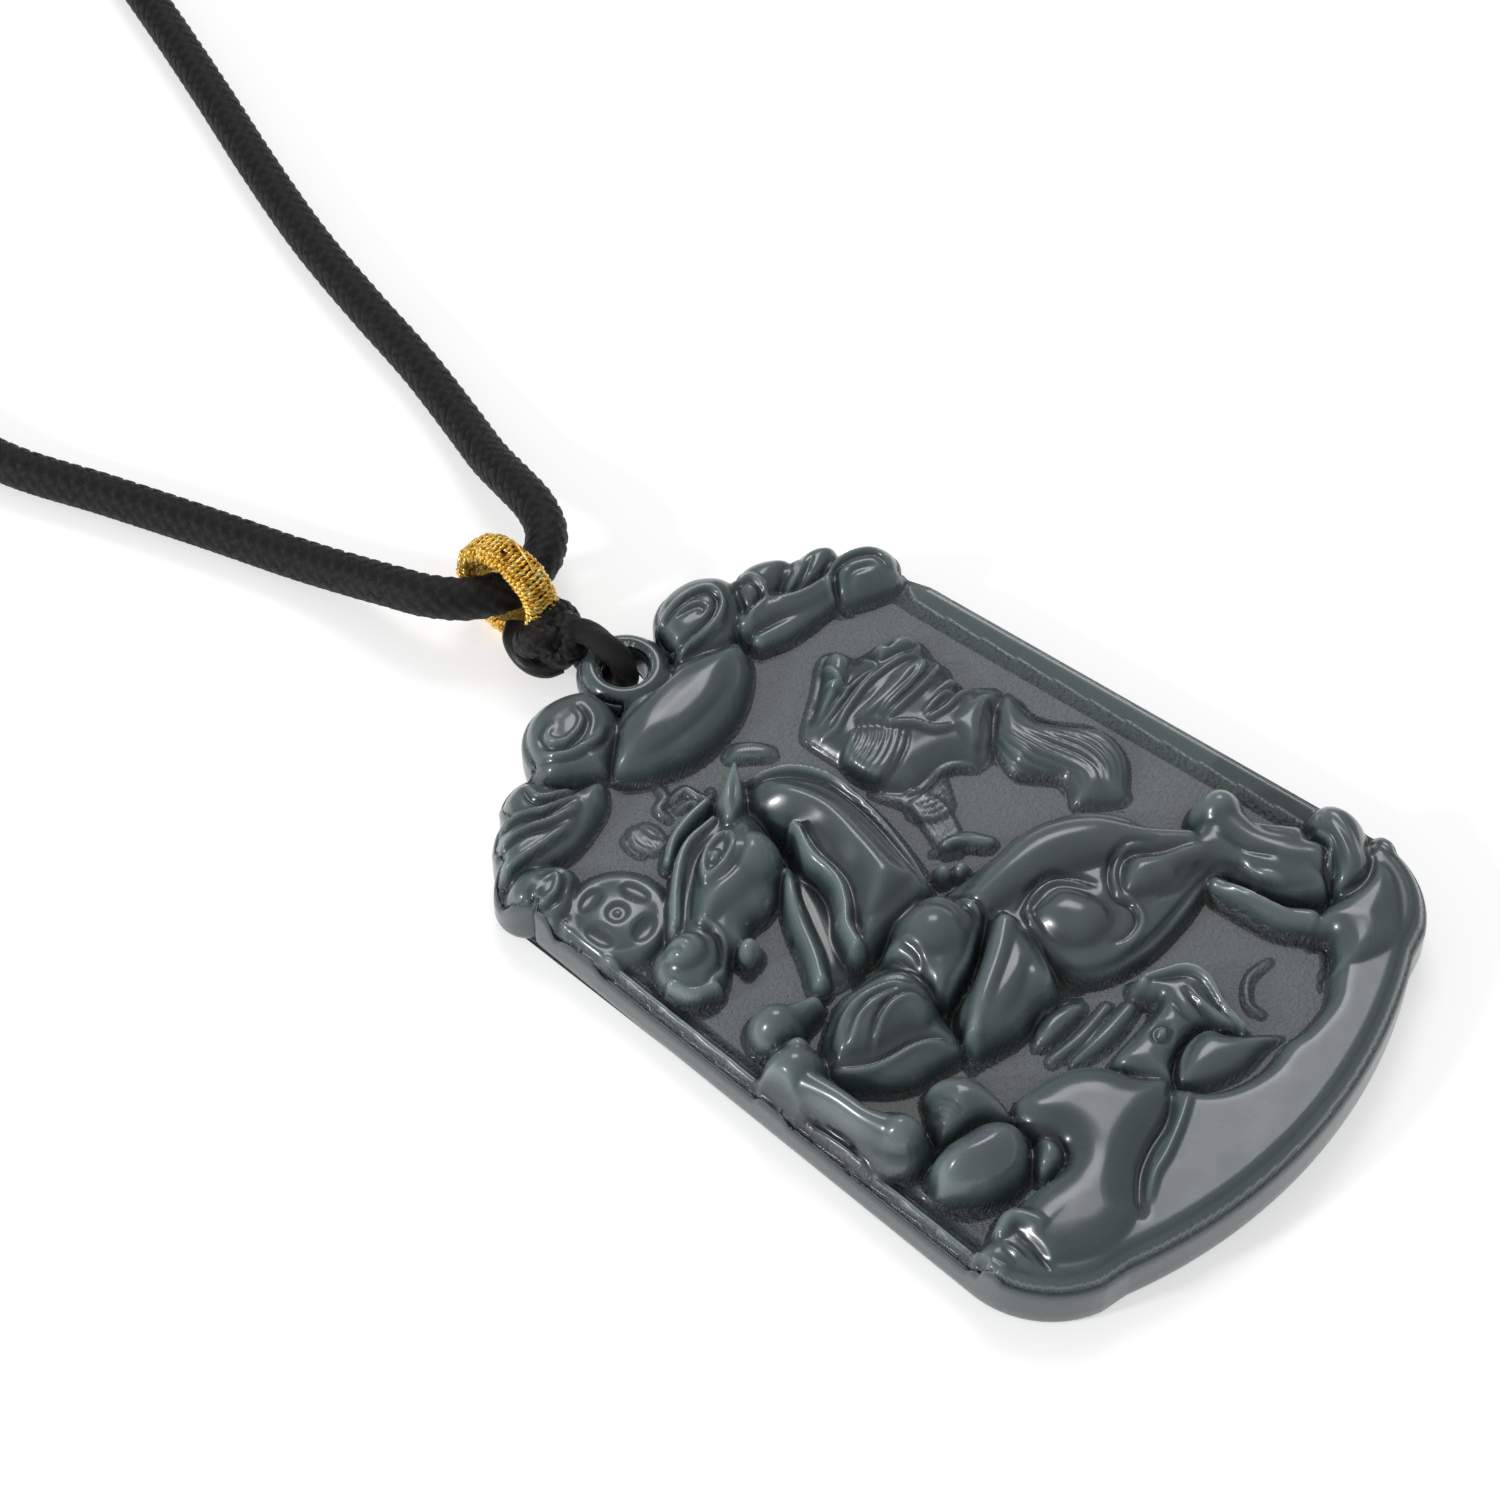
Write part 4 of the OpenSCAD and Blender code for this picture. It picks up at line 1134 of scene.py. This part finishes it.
    r.dome(1.5, -0.8, 0.7, 0.6, 0, 4.1, 0.2)


def carve_head(r):
    """The galloping horse's head."""
    r.mass([
        (-3.9, 11.8), (-4.0, 13.4), (-6.2, 14.2), (-9.2, 14.0), (-11.2, 13.0), (-13.2, 11.3),
        (-15.0, 10.0), (-16.9, 9.7), (-18.0, 8.4), (-18.2, 6.2), (-16.6, 4.7), (-14.9, 4.9),
        (-13.6, 5.8), (-12.3, 5.2), (-10.9, 6.3), (-9.3, 6.2), (-7.5, 6.7), (-5.6, 8.2), (-4.5, 9.9),
    ], 5.1, 1.8, 3)
    r.mass([
        (-4.6, 12.2), (-6.6, 12.9), (-9.6, 12.3), (-12.2, 10.7), (-14.4, 8.9), (-14.2, 7.3),
        (-12.0, 7.3), (-9.4, 7.1), (-7.4, 7.3), (-5.7, 8.8), (-4.8, 10.4),
    ], 6.0, 2.3, 6, 0.4)
    r.dome(-7.3, 9.5, 2.7, 2.3, 40, 6.5, 0.4)
    r.line([(-7.4, 12.2), (-9.4, 12.1), (-11.8, 10.7), (-14.0, 9.0)], 0.3, 0.3)
    r.ridge([
        (-6.6, 13.2, 0.5, 5.5), (-9.4, 13.1, 0.6, 5.7), (-12.0, 11.7, 0.6, 5.7), (-14.6, 9.6, 0.6, 5.6),
    ], 0.3)
    eye = [(-11.0, 10.2), (-9.9, 11.4), (-8.5, 11.8), (-7.1, 11.6), (-7.8, 10.6), (-9.3, 10.1)]
    r.dome(-9.0, 10.9, 2.1, 0.95, 22, 6.3, 0.1, 5.2)
    r.dent(-9.0, 10.9, 1.5, 0.6, 22, 0.5)
    r.line([*eye, eye[0]], 0.14, -0.28, False)
    r.dome(-9.2, 10.85, 0.55, 0.45, 22, 6.3, 0.05, 5.4)
    r.line([(-11.4, 9.6), (-9.4, 9.4), (-7.6, 9.8), (-6.4, 10.9)], 0.2, 0.25)
    r.dome(-15.5, 7.8, 1.95, 1.75, 0, 6.2, 0.15)
    for dx in (-0.45, 0.45):
        r.line([(-15.9 + dx, 8.8), (-15.6 + dx, 8.2), (-15.6 + dx, 7.5)], 0.15, 0.3)
    r.crease([(-13.6, 8.8), (-13.4, 7.2), (-14.4, 6.0), (-16.2, 5.6)], 0.18, 0.45, 0.35)
    r.dome(-12.4, 5.3, 1.0, 0.9, 0, 5.1, 0.15)
    r.ridge([(-17.7, 7.2, 0.5, 4.8), (-17.3, 5.8, 0.5, 4.7), (-15.9, 5.0, 0.5, 4.6)], 0.15)
    r.ridge([
        (-6.1, 12.3, 0.8, 6.0), (-4.9, 13.2, 1.15, 6.3), (-3.5, 14.2, 0.85, 6.1),
        (-2.2, 15.2, 0.25, 5.4),
    ], 0.1)
    r.line([(-5.6, 12.5), (-4.4, 13.4), (-2.9, 14.6)], 0.18, 0.4)


def carve():
    """The whole relief, from what lies lowest to what cuts into the rest."""
    r = Relief()
    for part in (
        carve_right_border, carve_spindle, carve_scroll_right, carve_scroll_left, carve_wisps,
        carve_coin, carve_second_horse, carve_base, carve_third_head, carve_hind, carve_front,
        carve_head, carve_left_border, carve_boss,
    ):
        part(r)
    return r


def soften(z, passes):
    """A light blur that takes the stair steps out of the grid."""
    for _ in range(passes):
        p = np.pad(z, 1, mode="edge")
        z = 0.5 * z + 0.125 * (p[:-2, 1:-1] + p[2:, 1:-1] + p[1:-1, :-2] + p[1:-1, 2:])
    return z


def edge_radius(y):
    """How round the stone's upper edge is: soft on the scrolls, tighter on the border."""
    return 0.85 + 0.1 * np.clip((y - 16) / 3, 0, 1)


def back_height(y):
    """The back is flat, with a scoop under the boss for the cord."""
    across = np.clip(SCOOP_R**2 - (y - SCOOP_Y) ** 2, 0, None)
    return np.maximum(0, SCOOP_Z + np.sqrt(across))


def boundary_loops(faces):
    """Closed loops of vertices along the edges that only one quad uses."""
    after = {}
    for f in faces:
        for i in range(4):
            after[(f[i], f[(i + 1) % 4])] = True
    step = {a: b for a, b in after if (b, a) not in after}
    loops = []
    while step:
        start = next(iter(step))
        loop = [start]
        nxt = step.pop(start)
        while nxt != start:
            loop.append(nxt)
            nxt = step.pop(nxt)
        loops.append(loop)
    return loops


class Stone:
    """The stone's outline and heights on the relief's grid, to be read at free points."""

    def __init__(self, relief):
        self.relief = relief
        self.z = soften(relief.z, 1)
        self.edge = outline_distance(relief.x, relief.y)
        self.slope_y, self.slope_x = np.gradient(self.edge, CELL)

    def read(self, field, x, y):
        """Bilinear reading of a field on the grid."""
        xs, ys = self.relief.xs, self.relief.ys
        fx = np.clip((x - xs[0]) / CELL, 0, len(xs) - 1.001)
        fy = np.clip((y - ys[0]) / CELL, 0, len(ys) - 1.001)
        i, j = fx.astype(int), fy.astype(int)
        u, v = fx - i, fy - j
        low = field[j, i] * (1 - u) + field[j, i + 1] * u
        high = field[j + 1, i] * (1 - u) + field[j + 1, i + 1] * u
        return low * (1 - v) + high * v

    def beyond(self, x, y):
        """Distance past the stone's edge, negative inside."""
        return self.read(self.edge, x, y)

    def outward(self, x, y):
        """The direction out of the stone, not yet of unit length."""
        return self.read(self.slope_x, x, y), self.read(self.slope_y, x, y)

    def top(self, x, y):
        """Height of the carved face, rounded off towards the edge."""
        radius = edge_radius(y)
        over = np.clip(radius + self.beyond(x, y), 0, radius)
        return self.read(self.z, x, y) - (radius - np.sqrt(radius**2 - over**2))


def grid_faces(keep):
    """Quads over the kept points of the grid, and which points they use."""
    quad = keep[:-1, :-1] & keep[1:, :-1] & keep[:-1, 1:] & keep[1:, 1:]
    used = np.zeros(keep.shape, bool)
    for rows in (slice(0, -1), slice(1, None)):
        for cols in (slice(0, -1), slice(1, None)):
            used[rows, cols] |= quad
    index = np.full(keep.shape, -1)
    index[used] = np.arange(used.sum())
    j, i = np.nonzero(quad)
    corners = [index[j, i], index[j, i + 1], index[j + 1, i + 1], index[j + 1, i]]
    return np.column_stack(corners).tolist(), used


def pull(stone, x, y, rim):
    """Move a rim's points out to where the side's part of the upper edge begins."""
    for _ in range(3):
        off = stone.beyond(x[rim], y[rim]) + INSET * edge_radius(y[rim])
        nx, ny = stone.outward(x[rim], y[rim])
        size = np.maximum(np.hypot(nx, ny), 0.3)
        x[rim] -= off * nx / size
        y[rim] -= off * ny / size


def settle_rim(stone, x, y, rim):
    """Take the grid's stair steps out of a rim."""
    pull(stone, x, y, rim)
    for _ in range(12):
        for at in (x, y):
            at[rim] = 0.5 * at[rim] + 0.25 * (np.roll(at[rim], 1) + np.roll(at[rim], -1))
        pull(stone, x, y, rim)


def side_rows(stone, x, y):
    """How far out and how high each row of the side lies, from a rim down to the back."""
    radius = edge_radius(y)
    start = math.radians(EDGE_START)
    crown = stone.top(x, y) - radius * math.sin(start)
    full = radius * (1 - math.cos(start))
    foot = back_height(y) + FOOT_R
    rows = []
    for a in np.radians((33, 22, 11, 0)):
        rows.append((radius * (math.cos(a) - math.cos(start)), crown + radius * math.sin(a)))
    for share in (0.33, 0.66, 1.0):
        rows.append((full, crown * (1 - share) + foot * share))
    for a in np.radians((25, 50, 75, 90)):
        rows.append((full - FOOT_R * (1 - math.cos(a)), foot - FOOT_R * math.sin(a)))
    return rows


def add_side(stone, rim, verts, faces):
    """Add the side below a rim to verts and faces; its lowest row's vertices and places."""
    x, y = verts[0][rim, 0], verts[0][rim, 1]
    nx, ny = (sum(np.roll(n, shift) for shift in range(-2, 3)) for n in stone.outward(x, y))
    size = np.maximum(np.hypot(nx, ny), 1e-6)
    above = rim
    for out, level in side_rows(stone, x, y):
        row = np.column_stack([x + nx / size * out, y + ny / size * out, level])
        below = sum(map(len, verts)) + np.arange(len(rim))
        verts.append(row)
        faces += np.column_stack([np.roll(above, -1), np.roll(below, -1), below, above]).tolist()
        above = below
    return above, row


def add_back(stone, lowest, verts, faces):
    """Add the flat back: triangles over the sides' lowest rows and a grid that is finer by the scoop."""
    x, y = (at.ravel() for at in np.meshgrid(np.arange(-20, 20.1, 1.25), np.arange(-29, 29.1, 0.625)))
    coarse = np.round(y / 1.25) * 1.25 == y
    chosen = (stone.beyond(x, y) < -1.0) & ((y > 24) | coarse)
    inner = np.column_stack([x[chosen], y[chosen]])
    points, edges, owners = [], [], []
    for ids, row in lowest:
        start, n = len(points), len(ids)
        points += [Vector(p) for p in row[:, :2]]
        edges += [(start + i, start + (i + 1) % n) for i in range(n)]
        owners += ids.tolist()
    points += [Vector(p) for p in inner]
    owners += (sum(map(len, verts)) + np.arange(len(inner))).tolist()
    verts.append(np.column_stack([inner, back_height(inner[:, 1])]))
    flat, _, tris, origin, _, _ = geometry.delaunay_2d_cdt(points, edges, [], 0, 1e-7)
    for tri in tris:
        centre = sum((flat[i] for i in tri), Vector((0, 0))) / 3
        within = stone.beyond(np.array([centre.x]), np.array([centre.y]))[0] <= -0.2
        if within and all(origin[i] for i in tri):
            faces.append([owners[origin[i][0]] for i in tri][::-1])


def matte_ground(stone):
    """1 on the sunk ground where no stroke polished it, 0 elsewhere."""
    low = (stone.z < GROUND + 0.28).astype(float)
    return soften(low * (1 - stone.relief.polish * (stone.z > GROUND + 0.12)), 3)


def crest_light(stone):
    """0.5 on level stone, more on crests, less in creases; paler on the right border and the head."""
    r, z = stone.relief, stone.z
    # Painted light on the crests and painted shade in the creases, from each point's height above its
    # blurred surroundings.
    proud = 0.5
    for share, passes in ((1.1, 4), (0.5, 24), (0.2, 150)):
        proud = proud + share * (z - soften(z, passes))
    # The paler right border is painted light for light passing through the thin stone.
    rim = np.clip(1 - (side_x(r.y) - r.x) / 3, 0, 1) * (r.y < 18) * (r.y > -8)
    head = np.exp(-(((r.x + 11) / 5) ** 2) - ((r.y - 9.5) / 4) ** 2)
    return soften(np.clip(np.clip(proud, 0, 1) + 0.16 * rim + 0.14 * head, 0, 1), 1)


def jade_mesh():
    """The carved stone as one closed mesh: relief, rounded edge, sides and back."""
    relief = carve()
    stone = Stone(relief)
    keep = stone.edge < -INSET * edge_radius(relief.y) + 0.35 * CELL
    faces, used = grid_faces(keep)
    x, y = relief.x[used].copy(), relief.y[used].copy()
    rims = [np.array(loop) for loop in boundary_loops(faces)]
    for rim in rims:
        settle_rim(stone, x, y, rim)
    verts = [np.column_stack([x, y, stone.top(x, y)])]
    lowest = [add_side(stone, rim, verts, faces) for rim in rims]
    add_back(stone, lowest, verts, faces)
    obj = add_mesh("jade_carving", np.vstack(verts), faces, "pendant", ["jade_plaque"])
    thickness = np.clip((soften(relief.z, 8)[used] - GROUND) / 3.6, 0, 1)
    for name, front, back in (
        ("matte", stone.read(matte_ground(stone), x, y), 0.0),
        ("thick", thickness, 0.3),
        # crest holds painted light and shade; the sides and back get 0.42, a painted shade that keeps them
        # darker.
        ("crest", stone.read(crest_light(stone), x, y), 0.42),
    ):
        values = np.full(len(obj.data.vertices), back)
        values[:len(x)] = front
        store(obj, name, values)
    obj.data.materials.append(jade_material())


# ---------------------------------------------------------------- cords and the hanger


# A braid's nominal radius, as a share of how far its strands stand up.
NOMINAL = 0.9


def braid_lift(turn, run, carriers, pitch):
    """Height from 0 to 1 of a round braid: strands of two directions pass over and under."""
    a = turn * carriers + run / pitch
    b = turn * carriers - run / pitch
    over = (np.floor(a) + np.floor(b)) % 2
    strand_a = 1 - (2 * (a % 1) - 1) ** 2
    strand_b = 1 - (2 * (b % 1) - 1) ** 2
    on_top_a = strand_a * (0.55 + 0.45 * np.sqrt(strand_b))
    on_top_b = strand_b * (0.55 + 0.45 * np.sqrt(strand_a))
    return np.where(over > 0.5, on_top_a, on_top_b)


def braided(height, carriers, pitch):
    """The shape of a braided tube, whose strands stand up by height."""
    return lambda turn, run: height * (braid_lift(turn, run, carriers, pitch) - NOMINAL)


def neck_cord():
    """The whole neck cord as one soft piece; its arms are finer than its coil."""
    route = cord_route()
    line = even(route, 0.2)
    in_arms = line[:, 1] < 106
    keep = in_arms | (np.arange(len(line)) % 2 == 0)
    keep[[0, -1]] = True
    carriers, pitch = 8, 1.05
    verts, faces, place = tube_mesh(line[keep], CORD_D / 2, 40, shape=braided(0.16, carriers, pitch))
    obj = add_mesh("neck_braid", verts, faces, "neck_cord", ["neck_cord", "neck_coil"])
    store(obj, "lift", braid_lift(place[:, 0], place[:, 1], carriers, pitch))
    obj.data.materials.append(braid_material())


def knot_line(scale):
    """The closed line of an overhand knot, drawn tight."""
    t = np.linspace(0, 2 * np.pi, 240, endpoint=False)
    x = np.sin(t) + 2 * np.sin(2 * t)
    y = np.cos(t) - 2 * np.cos(2 * t)
    z = -np.sin(3 * t)
    return np.column_stack([x, y, z]) * np.array(scale)


def closing_knot():
    """The knot that joins the neck cord's two ends."""
    line = knot_line((0.52, 0.85, 0.75))
    c, s = math.cos(KNOT_TURN), math.sin(KNOT_TURN)
    x = line[:, 0] * -s + line[:, 1] * c
    y = line[:, 0] * c + line[:, 1] * s
    turned = np.column_stack([x, y, line[:, 2]]) + np.array([*KNOT_AT, 2.7])
    verts, faces, _ = tube_mesh(turned, 1.35, 28, closed=True, shape=braided(0.12, 6, 0.9))
    above_floor = 0.02
    verts[:, 2] = np.maximum(verts[:, 2], above_floor)
    obj = add_mesh("closing_lump", verts, faces, "neck_cord", ["closing_knot"])
    # The neck braid's material, because the photograph's view doesn't reach this knot.
    obj.data.materials.append(bpy.data.materials["braid"])


def stray_thread(reach):
    """A loose gold thread that lies slantwise across the winding, at a random place."""
    n = 24
    at = RNG.uniform(0, 2 * np.pi)
    across = RNG.uniform(-1, 1) + np.linspace(-0.3, 0.4, n)
    sweep = at + np.linspace(0, 0.7, n)
    out = reach + 0.06 * np.sin(np.linspace(0, np.pi, n))
    line = np.column_stack([across, out * np.sin(sweep), out * np.cos(sweep)])
    return tube_mesh(line + RING_AT, 0.09, 6)


def gold_winding():
    """Two-ply gold thread wound round and round the ring's core, and a few stray threads."""
    mean_r, half_thick, half_flat = 3.2, 0.62, 0.5
    turns, per_turn, strays = 62, 32, 7
    ply_r, ply_off, ply_pitch = 0.13, 0.12, 0.95
    t = np.arange(turns * per_turn) / per_turn
    wobble = np.interp(t, np.arange(turns + 1), RNG.normal(0, 0.06, turns + 1))
    swell = np.interp(t, np.arange(turns + 1), RNG.normal(0, 0.05, turns + 1))
    around = 2 * np.pi * (t + 1.2 * wobble) / turns
    a = 2 * np.pi * (t % 1)
    wide = (half_thick + swell) * np.sin(a) + half_flat * np.tanh(3 * np.sin(a))
    reach = mean_r + (half_thick + swell) * np.cos(a)
    centre = np.column_stack([wide, reach * np.sin(around), reach * np.cos(around)]) + RING_AT
    side, up = frames_along(centre)
    along = np.concatenate([[0], np.cumsum(np.linalg.norm(np.diff(centre, axis=0), axis=1))])
    parts = []
    for ply in range(2):
        twist = 2 * np.pi * along / ply_pitch + math.pi * ply
        offset = side * np.cos(twist)[:, None] + up * np.sin(twist)[:, None]
        parts.append(tube_mesh(centre + ply_off * offset, ply_r, 6))
    for _ in range(strays):
        parts.append(stray_thread(mean_r + 0.86))
    verts, faces = merge(parts)
    obj = add_mesh("gold_thread_winding", verts, faces, "hanger", ["gold_winding"])
    obj.data.materials.append(gold_material())


def hanger_knot():
    """The tight knot of thin cord between the ring and the boss."""
    line = knot_line((0.60, 0.50, 0.60)) + np.array([-0.8, 32.6, 3.2])
    verts, faces, _ = tube_mesh(line, 1.15, 36, closed=True, shape=braided(0.2, 6, 0.6))
    obj = add_mesh("hanger_knot_wraps", verts, faces, "hanger", ["hanger_knot"])
    obj.data.materials.append(thread_material("knot_cord", (0.007, 0.007, 0.007), 0.38, 3.0))


def hanger_loop():
    """The thin twisted cord through the hole."""
    n = 160
    middle_y, middle_z, half_y, half_z = 29.2, 2.9, 2.5, 1.75
    a = np.linspace(0, 2 * np.pi, n, endpoint=False)
    line = np.column_stack([np.zeros(n), middle_y + half_y * np.cos(a), middle_z + half_z * np.sin(a)])
    plies, pitch, height = 3, 15.7 / 6, 0.14

    def shape(turn, run):
        return height * (np.abs(np.cos(np.pi * (plies * turn + run / pitch))) - NOMINAL)

    verts, faces, _ = tube_mesh(line, 0.92, 30, closed=True, shape=shape)
    obj = add_mesh("loop_twist", verts, faces, "loop", ["hanger_loop"])
    obj.data.materials.append(thread_material("loop_cord", (0.005, 0.005, 0.005), 0.45, 5.0))


def satin_band():
    """A flat satin strand from the foot of the ring to the knot's lower edge, narrower down there."""
    route = catmull([
        (-1.2, 35.4, 2.5), (-2.2, 34.8, 2.4), (-2.8, 33.7, 2.2), (-2.9, 32.6, 2.0), (-2.5, 31.7, 1.9),
        (-1.6, 31.2, 1.9),
    ], 10)
    side, up = frames_along(route)
    n, around, half_thick = len(route), 20, 0.45
    a = np.linspace(0, 2 * np.pi, around, endpoint=False)
    half_wide = 0.95 - 0.25 * np.linspace(0, 1, n)
    flat = side[:, None] * np.cos(a)[None, :, None] * half_wide[:, None, None]
    ring = flat + up[:, None] * (np.sin(a) * half_thick)[None, :, None]
    verts = (route[:, None] + ring).reshape(-1, 3)
    obj = add_mesh("satin_band", verts, tube_faces(n, around), "hanger", ["satin_strand"])
    obj.data.materials.append(satin_material())


def finish_core():
    """A dull gold-brown for the ring's core, which shows only between the gold threads."""
    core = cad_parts["ring_core"]
    core.data.materials.clear()
    core.data.materials.append(thread_material("core_cord", (0.16, 0.08, 0.012), 0.6, 5.0))


# ---------------------------------------------------------------- floor, light and world

LIGHT_TARGET = (0.0, 0.01, 0)
WORLD_LEVEL = 0.36


def make_floor():
    """A white sheet just under the stone's back."""
    half, below = 3.0, 0.00002
    verts = [(-half, -half, 0), (half, -half, 0), (half, half, 0), (-half, half, 0)]
    mesh = bpy.data.meshes.new("floor")
    mesh.from_pydata(verts, [], [(0, 1, 2, 3)])
    floor = bpy.data.objects.new("floor", mesh)
    bpy.context.collection.objects.link(floor)
    floor.location = (0, 0, -below)
    mesh.materials.append(floor_material())


def area_light(name, at, size, power):
    """A rectangular lamp that points at the stone."""
    data = bpy.data.lights.new(name, "AREA")
    data.shape = "RECTANGLE"
    data.size, data.size_y = size
    data.energy = power
    light = bpy.data.objects.new(name, data)
    bpy.context.collection.objects.link(light)
    light.location = at
    light.rotation_euler = (Vector(LIGHT_TARGET) - Vector(at)).to_track_quat("-Z", "Y").to_euler()


def make_lights():
    """A dim box that the flat stone mirrors, a small lamp for the crisp glints, and a white world."""
    area_light("softbox", (0.372, 0.326, 0.634), (0.36, 0.28), 1.45)
    area_light("glint_lamp", (-0.632, 0.314, 0.368), (0.09, 0.09), 1.9)
    world = bpy.data.worlds.new("world")
    bpy.context.scene.world = world
    world.use_nodes = True
    background = world.node_tree.nodes["Background"]
    background.inputs["Color"].default_value = (1, 1, 1, 1)
    background.inputs["Strength"].default_value = WORLD_LEVEL
    bpy.context.scene.view_settings.view_transform = "Standard"


make_camera()
closing_knot()
neck_cord()
jade_mesh()
gold_winding()
hanger_knot()
hanger_loop()
satin_band()
finish_core()
make_floor()
make_lights()
